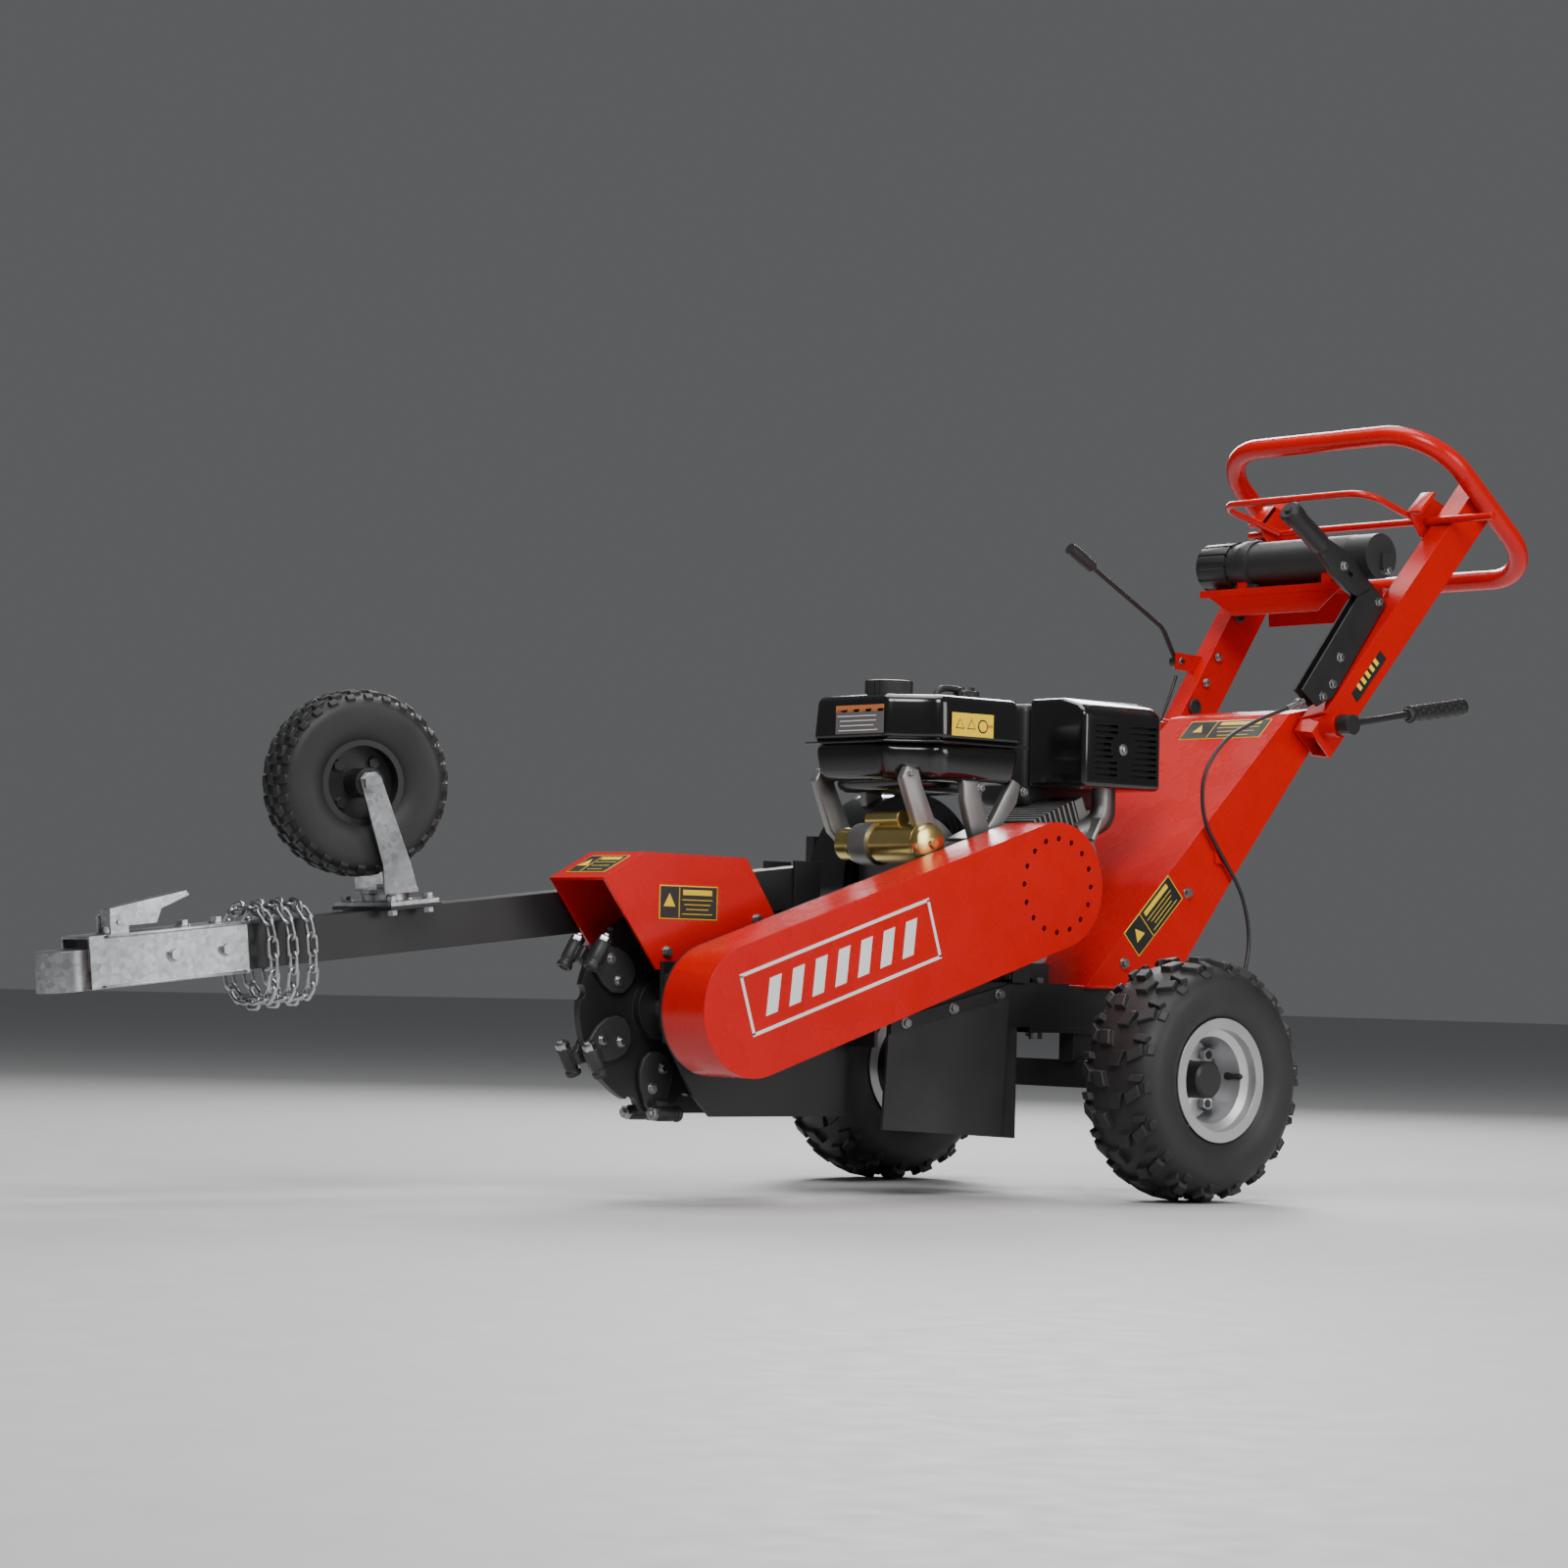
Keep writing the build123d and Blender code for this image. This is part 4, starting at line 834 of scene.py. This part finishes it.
# %% Tank labels
front = Vector((tank_low.x + 5.2 * MM, at(0, 4, 0).y, tank_low.z + 90 * MM))
parts = [mark(-Y, Z, front, -X, 0, -4, 104, 36, "grey", 0),
         mark(-Y, Z, front, -X, 0, 15, 104, 10, "orange", 0)]
for row in range(4):
    parts.append(mark(-Y, Z, front, -X, -6 + 3 * (row % 2), 4 - 7 * row, 84 - 6 * (row % 3), 1.6, "white"))
piece(joined("tank_label_front", parts), None, "chassis")
side_spot = Vector((at(-246, 0, 0).x, tank_low.y + 5.0 * MM, tank_low.z + 84 * MM))
parts = [mark(X, Z, side_spot, -Y, 0, 0, 84, 34, "yellow", 0)]
for k in range(3):
    clear()
    bpy.ops.mesh.primitive_cone_add(vertices=3 if k < 2 else 24, radius1=10 * MM, radius2=10 * MM,
                                    depth=SHEET * MM)
    sign = named("sign")
    sign.matrix_world = (Matrix.Translation(side_spot + Vector((-26 + 23 * k, -SHEET * 1.1, -1)) * MM)
                         @ Matrix.Rotation(math.pi / 2, 4, "X"))
    settle(sign)
    sign.data.materials.append(LABELS["black"])
    inner = copy_of(sign, Matrix.Identity(4))
    take(inner)
    bpy.ops.object.origin_set(type="ORIGIN_GEOMETRY")
    inner.scale = (0.78, 1, 0.78)
    inner.location.y -= 0.3 * MM
    settle(inner)
    inner.data.materials.clear()
    inner.data.materials.append(LABELS["yellow"])
    parts += [sign, inner]
parts.append(mark(X, Z, side_spot, -Y, 35, 0, 10, 4, "orange"))
piece(joined("tank_label_side", parts), None, "chassis")
print("tank labels stuck on")

# %% Belt guard panel
guard_run = (at(-171, 0, 454) - at(-745, 0, 265)).normalized()
guard_up = guard_run.cross(Y)
panel = Vector((at(-588, 0, 0).x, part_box("belt_guard")[0].y - 0.2 * MM, at(0, 0, 329).z))
PANEL_L, PANEL_H = 362, 84
SLANT = 0.45        # how far a stripe leans for its height
parts = []
for sign in (-1, 1):
    parts.append(mark(guard_run, guard_up, panel, -Y, 0, sign * PANEL_H / 2, PANEL_L + 5, 5, "white", 0))
    parts.append(mark(guard_run, guard_up, panel, -Y, sign * PANEL_L / 2, 0, 5, PANEL_H, "white", 0))
for k in range(7):
    foot = panel + guard_run * (-132 + 44 * k) * MM
    stripe = slab("stripe", foot - Y * 0.1 * MM, guard_run, guard_up, 22, 48, SHEET)
    for vertex in stripe.data.vertices:
        vertex.co += guard_run * (vertex.co - foot).dot(guard_up) * SLANT
    stripe.data.materials.append(LABELS["white"])
    parts.append(stripe)
piece(joined("belt_guard_panel", parts), None, "chassis")
print("panel on the belt guard")

# %% [markdown]
# ## Controls
# The parking brake is a pressed channel lever with a moulded grip, the side lever has a block-pattern rubber
# grip, and the throttle has a small knob. Flat bars carry the exact model's motion, so each lever gets its
# real outline here and rides on the same moving body.

# %% Parking brake lever
brake_pivot, brake_tip = at(567, -167.5, 926), at(366, -167.5, 1053)
reach = (brake_tip - brake_pivot).normalized()
side_way = reach.cross(Y).normalized()
WIDTHS = [(-16, 12), (-8, 17), (30, 19), (62, 24), (104, 24), (138, 17), (158, 14)]
rim_points = [(s, w) for s, w in WIDTHS] + [(s, -w) for s, w in reversed(WIDTHS)]
HALF_CHANNEL = 6.2            # runs between the bracket's two plates
outline = [brake_pivot + (reach * s + side_way * w - Y * HALF_CHANNEL) * MM for s, w in rim_points]
channel = soften(plate("channel", outline, Y * 2 * HALF_CHANNEL * MM), 2.5, 3, 20)
grip = turned("grip", [(148, 0.01), (148, 15), (156, 17), (212, 16), (220, 18), (236, 18), (240, 15),
                       (240, 7), (244, 6), (244, 0.01)], brake_pivot, reach, steps=32)
slot_cut = slab("slot_cut", brake_pivot + reach * 84 * MM, reach, side_way, 34, 8, 60)
modify(channel, "BOOLEAN", object=slot_cut, operation="DIFFERENCE", solver="EXACT")
bpy.data.objects.remove(slot_cut)
lever = joined("brake_lever_pressed", [channel, grip])
piece(lever, FINISHES["black_powder"], "parking_brake_lever", ["brake_lever"])
bolt("brake_lever_bolt_low", brake_pivot - Y * 10 * MM, -Y, "parking_brake_lever")
bolt("brake_lever_bolt_high", brake_pivot + (reach * 94 - Y * HALF_CHANNEL) * MM, -Y, "parking_brake_lever")
for k, (x, z) in enumerate(((479, 832), (462, 789), (440, 768))):
    bolt("brake_bracket_bolt_%d" % k, at(x, -177, z), -Y, "chassis")
ADJUSTER = [(-14, 0.01), (-14, 5), (-6, 5), (-6, 8), (2, 8), (2, 4.4), (22, 4.4), (22, 0.01)]
cable_run = Vector((-0.92, 0.1, -0.35)).normalized()
adjuster = turned("cable_adjuster", ADJUSTER, at(392, -168, 754), cable_run, steps=16)
piece(adjuster, FINISHES["zinc_plate"], "chassis")
print("brake lever length", round((brake_tip - brake_pivot).length, 3))

# %% Side lever grip and throttle knob
grip_low, grip_high = at(606, -214, 748.7), at(732, -214, 768)
grip_run = (grip_high - grip_low).normalized()
core = turned("core", [(0, 0.01), (0, 9), (4, 11.5), (122, 11.5), (126, 9), (126, 0.01)], grip_low, grip_run,
              steps=32)
knobs = []
for row in range(11):
    spot = grip_low + grip_run * (9 + 10.8 * row) * MM
    out = grip_run.cross(Y).normalized()
    pad = slab("pad", spot + out * 11.6 * MM, grip_run, out.cross(grip_run), 7.4, 6.4, 4.2)
    soften(pad, 0.8, 1)
    pad = ring_of("pads", pad, 8, spot, grip_run)
    pad.data.transform(about(spot, grip_run, 22.5 * (row % 2)))
    knobs.append(pad)
collar = turned("collar", [(-8, 0.01), (-8, 9), (0, 13), (4, 13), (4, 0.01)], grip_low, grip_run, steps=32)
piece(joined("side_lever_grip", [core, collar, *knobs]), FINISHES["sheet_rubber"], "axle_lock_lever")
knob_run = (at(236, 180, 1004.1) - at(285, 180, 978.7)).normalized()
knob = turned("throttle_knob", [(-6, 0.01), (-6, 6), (0, 9.8), (44, 10.6), (52, 9.5), (55, 6), (55, 0.01)],
              at(285, 180, 978.7), knob_run, steps=32)
piece(knob, FINISHES["black_plastic"], "throttle_hand_lever")
print("grips fitted")

# %% [markdown]
# ## Document tube
# A moulded tube for the manual lies on the cross plate. Its lid has finger flutes, and its other end is a
# rounded dome with a hasp. A spun outline gives both, and pulled-in faces give the flutes.

# %% Tube, lid and hasp
tube_low, tube_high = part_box("tube_cap")
tube_spot = Vector(((tube_low.x + tube_high.x) / 2, 0, (tube_low.z + tube_high.z) / 2))
dome = turned("dome", [(100, 0.01), (100, 37.2), (92, 38.4), (86, 36.6), (-138, 36.6), (-152, 33), (-160, 24),
                       (-163, 0.01)], tube_spot, Y, steps=64)
hasp = slab("hasp", tube_spot + Vector((8, -168, -14)) * MM, Vector((0, -1, -0.5)), X, 56, 26, 10)
hasp = soften(hasp, 3, 2)
band = turned("band", [(64, 36), (64, 39.6), (66, 40.4), (88, 40.4), (90, 39.6), (90, 36)], tube_spot, Y)
clamp = block("clamp", tube_spot + Vector((-26, 52, -46)) * MM, tube_spot + Vector((26, 100, -32)) * MM)
clamp = soften(clamp, 3, 2)
dome = joined("document_tube_dome", [dome, hasp, band, clamp])
piece(dome, FINISHES["black_plastic"], "chassis", angle=35)
lid_radius = (tube_high.x - tube_low.x) / 2 / MM
lid = drum("document_tube_lid", tube_spot + Y * 142 * MM, Y, lid_radius, 60, 48)
choose(lid, lambda place, normal: abs(normal.y) < 0.1 and
       round(math.degrees(math.atan2(normal.z, normal.x)) / 7.5) % 4 < 2)
bpy.ops.mesh.inset(thickness=0.5 * MM, depth=-2.0 * MM)
mode("OBJECT")
choose(lid, lambda place, normal: normal.y > 0.9)
bpy.ops.mesh.inset(thickness=4 * MM, depth=-2 * MM)
mode("OBJECT")
soften(lid, 1.0, 2, 40)
piece(lid, FINISHES["black_plastic"], "tube_lid", ["tube_cap"])
bolt("hasp_bolt", tube_spot + Vector((12, -192, -22)) * MM, -Y, "chassis")
print("document tube dressed")

# %% [markdown]
# ## Sheet-metal brackets
# Small folded red plates carry the pivot rod of the presence bar, and the cross plate has a skirt folded down
# at its front. Each is an outline extruded to its sheet thickness.

# %% Brackets
EAR = [(655, 1078), (690, 1112), (742, 1096), (752, 1062), (716, 1036), (686, 1040)]
for side in (-1, 1):
    y = side * 158
    outline = [at(x, y, z) for x, z in EAR]
    ear = soften(plate("bail_bracket", outline, Y * side * 4 * MM), 1.2, 2)
    flange = [at(655, y, 1078), at(690, y, 1112), at(696, y, 1107), at(661, y, 1073)]
    fold = soften(plate("fold", flange, Y * side * 26 * MM), 1.0, 2)
    piece(joined("bail_bracket_%s" % ("far" if side > 0 else "near"), [ear, fold]), FINISHES["red_powder"],
          "chassis")
skirt = plate("cross_plate_skirt", [at(514.3, y, z) for y, z in
              ((-150, 952), (-96, 912), (84, 912), (150, 952))], X * 3.5 * MM)
piece(soften(skirt, 1.0, 2), FINISHES["red_powder"], "chassis")
print("brackets folded")

# %% [markdown]
# ## Welds
# Parts of the frame meet in weld beads: rows of overlapping ripples. A noise bump on a strip would look
# melted, so each bead is a row of small flattened balls.

# %% Weld beads


def weld(name, start, end, width=5.0, pitch=3.0):
    clear()
    run = end - start
    count = max(2, int(run.length / (pitch * MM)))
    bpy.ops.mesh.primitive_uv_sphere_add(segments=8, ring_count=5, radius=width / 2 * MM, location=start)
    ripple = settle(named("ripple"))
    ripples = [copy_of(ripple, Matrix.Translation(run * i / count)) for i in range(1, count + 1)]
    bead = joined(name, [ripple, *ripples])
    return piece(bead, FINISHES["red_powder"], "chassis", angle=60)


for side, word in ((-1, "near"), (1, "far")):
    y = side * 128.5
    weld("weld_riser_foot_" + word, at(-14, y, 308), at(158, y, 308))
    weld("weld_sleeve_" + word, at(441, side * 130, 735), at(446, side * 178, 744))
weld("weld_riser_front", at(-20, -122, 307.5), at(-20, 122, 307.5))
print("welds laid")

# %% [markdown]
# ## Starter motor
# The electric starter has a yellow zinc body with a domed end cover, two long through bolts, and a cast
# nose. Its end cover and nose are spun shapes over the exact body.

# %% Starter dress
START = at(-335, -110, 510)
cap_end = turned("starter_end", [(-2, 0.01), (-2, 29.2), (6, 29.2), (10, 27), (13, 20), (14, 8), (19, 7),
                                 (19, 0.01)], START, -Y, steps=48)
piece(cap_end, FINISHES["gold_zinc"], "chassis")
nose = turned("starter_nose", [(0, 26), (0, 32), (26, 32), (40, 30), (40, 26)], at(-335, -12, 510), Y,
              steps=48)
piece(nose, FINISHES["cast_aluminium"], "chassis")
for k, angle in enumerate((40, 220)):
    away = Vector((math.cos(math.radians(angle)), 0, math.sin(math.radians(angle))))
    bolt("starter_through_bolt_%d" % k, START + away * 21 * MM - Y * 6 * MM, -Y, "chassis", 0.6)
print("starter dressed")

# %% [markdown]
# ## Cutter teeth
# Six stations stand round the disc. At each one, a rounded pocket plate is bolted to either face, and it
# carries a round tooth that lies along the direction of travel: a hex nut behind, a carbide cup in front.
# One station is made from an outline and spun shapes, and copies are turned round the shaft.

# %% One station of teeth
disc_mid = middle("cutter_disc")
STATIONS = 6
FIRST_ANGLE = 149    # degrees of the first station, up from the rear
POCKET = [(62, -16), (72, -27), (90, -33), (110, -31), (134, -20), (146, -9), (146, 9), (128, 17),
          (104, 26), (84, 27), (68, 18), (61, 2)]                       # outward, along the travel
SLEEVE = [(-15, 0.01), (-15, 9.5), (-13, 10.5), (13, 10.5), (15, 9.5), (15, 0.01)]
CUP = [(14, 0.01), (14, 8.5), (17, 9.5), (19, 9.0), (20, 11), (24, 11.4), (27, 10.2), (27, 7), (24, 5),
       (24, 0.01)]
NUT = [(14, 0.01), (14, 9.6), (16, 10.2), (22, 10.2), (24, 9), (24, 5.6), (28, 5), (28, 0.01)]
POCKET_BOLT = [(0, 0.01), (0, 8.5), (1.5, 8.5), (1.5, 6), (4.5, 6), (5, 5), (5, 0.01)]


def station(side):
    """A pocket plate and its tooth on one face of the disc, built at the disc's rear and turned later."""
    hub_line = disc_mid + Vector((0, side * 6.2, 0)) * MM
    flank = [hub_line + Vector((r, 0, t)) * MM for r, t in POCKET]
    parts = [soften(plate("pocket", flank, Y * side * 8.5 * MM), 2.5, 3, 20)]
    web_low = hub_line + Vector((128, 0, -11)) * MM
    web_high = hub_line + Vector((147, side * 22, 11)) * MM
    low = Vector(map(min, web_low, web_high))
    high = Vector(map(max, web_low, web_high))
    parts.append(soften(block("web", low, high), 3, 3))
    seat = hub_line + Vector((147, side * 23.5, 0)) * MM
    parts.append(turned("sleeve", SLEEVE, seat, Z, 24))
    return parts, seat


iron, steel = [], []
for side in (-1, 1):
    parts, seat = station(side)
    iron.extend(parts)
    iron.append(turned("cup", CUP, seat, Z, 24))
    steel.append(turned("nut", NUT, seat, -Z, 6))
    for radius, rise in ((84, 8), (112, -10)):
        foot = disc_mid + Vector((radius, side * 14.5, rise)) * MM
        steel.append(turned("pocket_bolt", POCKET_BOLT, foot, Y * side, 12))
start_turn = about(disc_mid, Y, -FIRST_ANGLE)
pockets, fasteners = joined("station", iron), joined("station_steel", steel)
for part in (pockets, fasteners):
    part.data.transform(start_turn)
pockets = ring_of("tooth_stations", pockets, STATIONS, disc_mid, Y)
fasteners = ring_of("tooth_nuts", fasteners, STATIONS, disc_mid, Y)
piece(pockets, FINISHES["cast_iron"], "cutter", ["tooth_pockets", "cutter_teeth"], 35)
piece(fasteners, FINISHES["zinc_plate"], "cutter", angle=25)
print("stations", STATIONS, "faces", len(pockets.data.polygons))

# %% [markdown]
# ## Castings round the engine
# Three pairs of cast arms reach from the crankcase up to the tank, and a cast elbow carries the exhaust from
# the cylinder to the silencer. The arms are outlines extruded and softened, and the elbow is a wire thick
# enough to be a pipe, with a flange at its foot.

# %% Tank arms and exhaust elbow
ARM_THICK = 15       # mm
ENGINE_MIDDLE = 15   # the engine sits this far over to the far side, mm
ARMS = {
    "front": (-72, [(-362, 604), (-352, 622), (-330, 618), (-322, 596), (-292, 540), (-270, 512),
                    (-300, 506), (-328, 528), (-352, 580)]),
    "middle": (-84, [(-252, 606), (-222, 606), (-214, 580), (-198, 540), (-186, 512), (-226, 510),
                     (-238, 540), (-250, 576)]),
    "rear": (-84, [(-150, 612), (-134, 604), (-142, 576), (-176, 536), (-196, 512), (-214, 522),
                   (-190, 552), (-166, 590)]),
}
arms = []
for word, (near_y, corners) in ARMS.items():
    for y in (near_y, 2 * ENGINE_MIDDLE - near_y + ARM_THICK):
        arm = plate("arm", [at(x, y, z) for x, z in corners], -Y * ARM_THICK * MM)
        arms.append(soften(arm, 3, 3, 20))
    top_x, top_z = corners[1]
    bolt("tank_arm_bolt_" + word, at(top_x + 4, near_y - ARM_THICK, top_z - 10), -Y, "chassis", 0.9)
piece(joined("tank_arms", arms), FINISHES["cast_aluminium"], "chassis", ["tank_brackets"],
      40)
elbow = wire("elbow", [at(70, -64, 618), at(70, -64, 590), at(66, -66, 566), at(44, -66, 548),
                       at(20, -60, 540)], 15)
flange = soften(slab("elbow_flange", at(34, -64, 545), Y, Vector((0.5, 0, 0.86)), 62, 40, 8), 3, 3)
piece(joined("exhaust_elbow", [elbow, flange]), FINISHES["cast_aluminium"], "chassis",
      angle=45)
print("castings fitted")

# %% [markdown]
# ## Grommets, lips and bolts
# Two rubber grommets close the cable holes in the far handle arm, bolt heads stand below them and on the
# throttle's pivot, and rolled lips stiffen the near side of the coupler. The arm leans outward as it rises, so a small function
# finds its inner face.

# %% Small parts
ARM_HALF = 19            # half the arm's thickness, mm
GROMMET = [(-1, 9), (-1, 13), (1.5, 14), (3, 12), (3, 9)]
STOPPER = [(-1, 0.01), (-1, 9.2), (0.6, 9.2), (0.6, 0.01)]


def on_far_arm(x, z, sink=0.0):
    """A place on the far handle arm's inner face, sunk into the gap by some mm."""
    share = (x - 450) / 330
    return at(x, 148.2 + 50 * share - ARM_HALF - sink, z)


for k, (x, z) in enumerate(((603, 925), (482, 764))):
    face = on_far_arm(x, z, 0.6)
    grommet = [turned("ring", GROMMET, face, -Y, 28), turned("stopper", STOPPER, face, -Y, 28)]
    piece(joined("cable_grommet_%d" % k, grommet), FINISHES["sheet_rubber"], "chassis")
tow_drop = math.radians(6.4)
along_bar = Vector((-math.cos(tow_drop), 0, -math.sin(tow_drop)))
coupler_mid = at(-395, 98, 445.8) + along_bar * 1106 * MM
lips = []
for edge_side in (-1, 1):
    lip = slab("lip", coupler_mid + Vector((0, -36, edge_side * 32)) * MM, along_bar, Y, 216, 9, 4)
    lips.append(soften(lip, 1.5, 2))
piece(joined("coupler_lips", lips), FINISHES["zinc_plate"], "chassis")
bolt("throttle_pivot_bolt", at(485, 172, 840), -Y, "throttle_hand_lever")
for k, (x, z) in enumerate(((512, 806), (545, 850))):
    bolt("arm_bolt_%d" % k, on_far_arm(x, z), -Y, "chassis", 0.9)
print("small parts fitted")
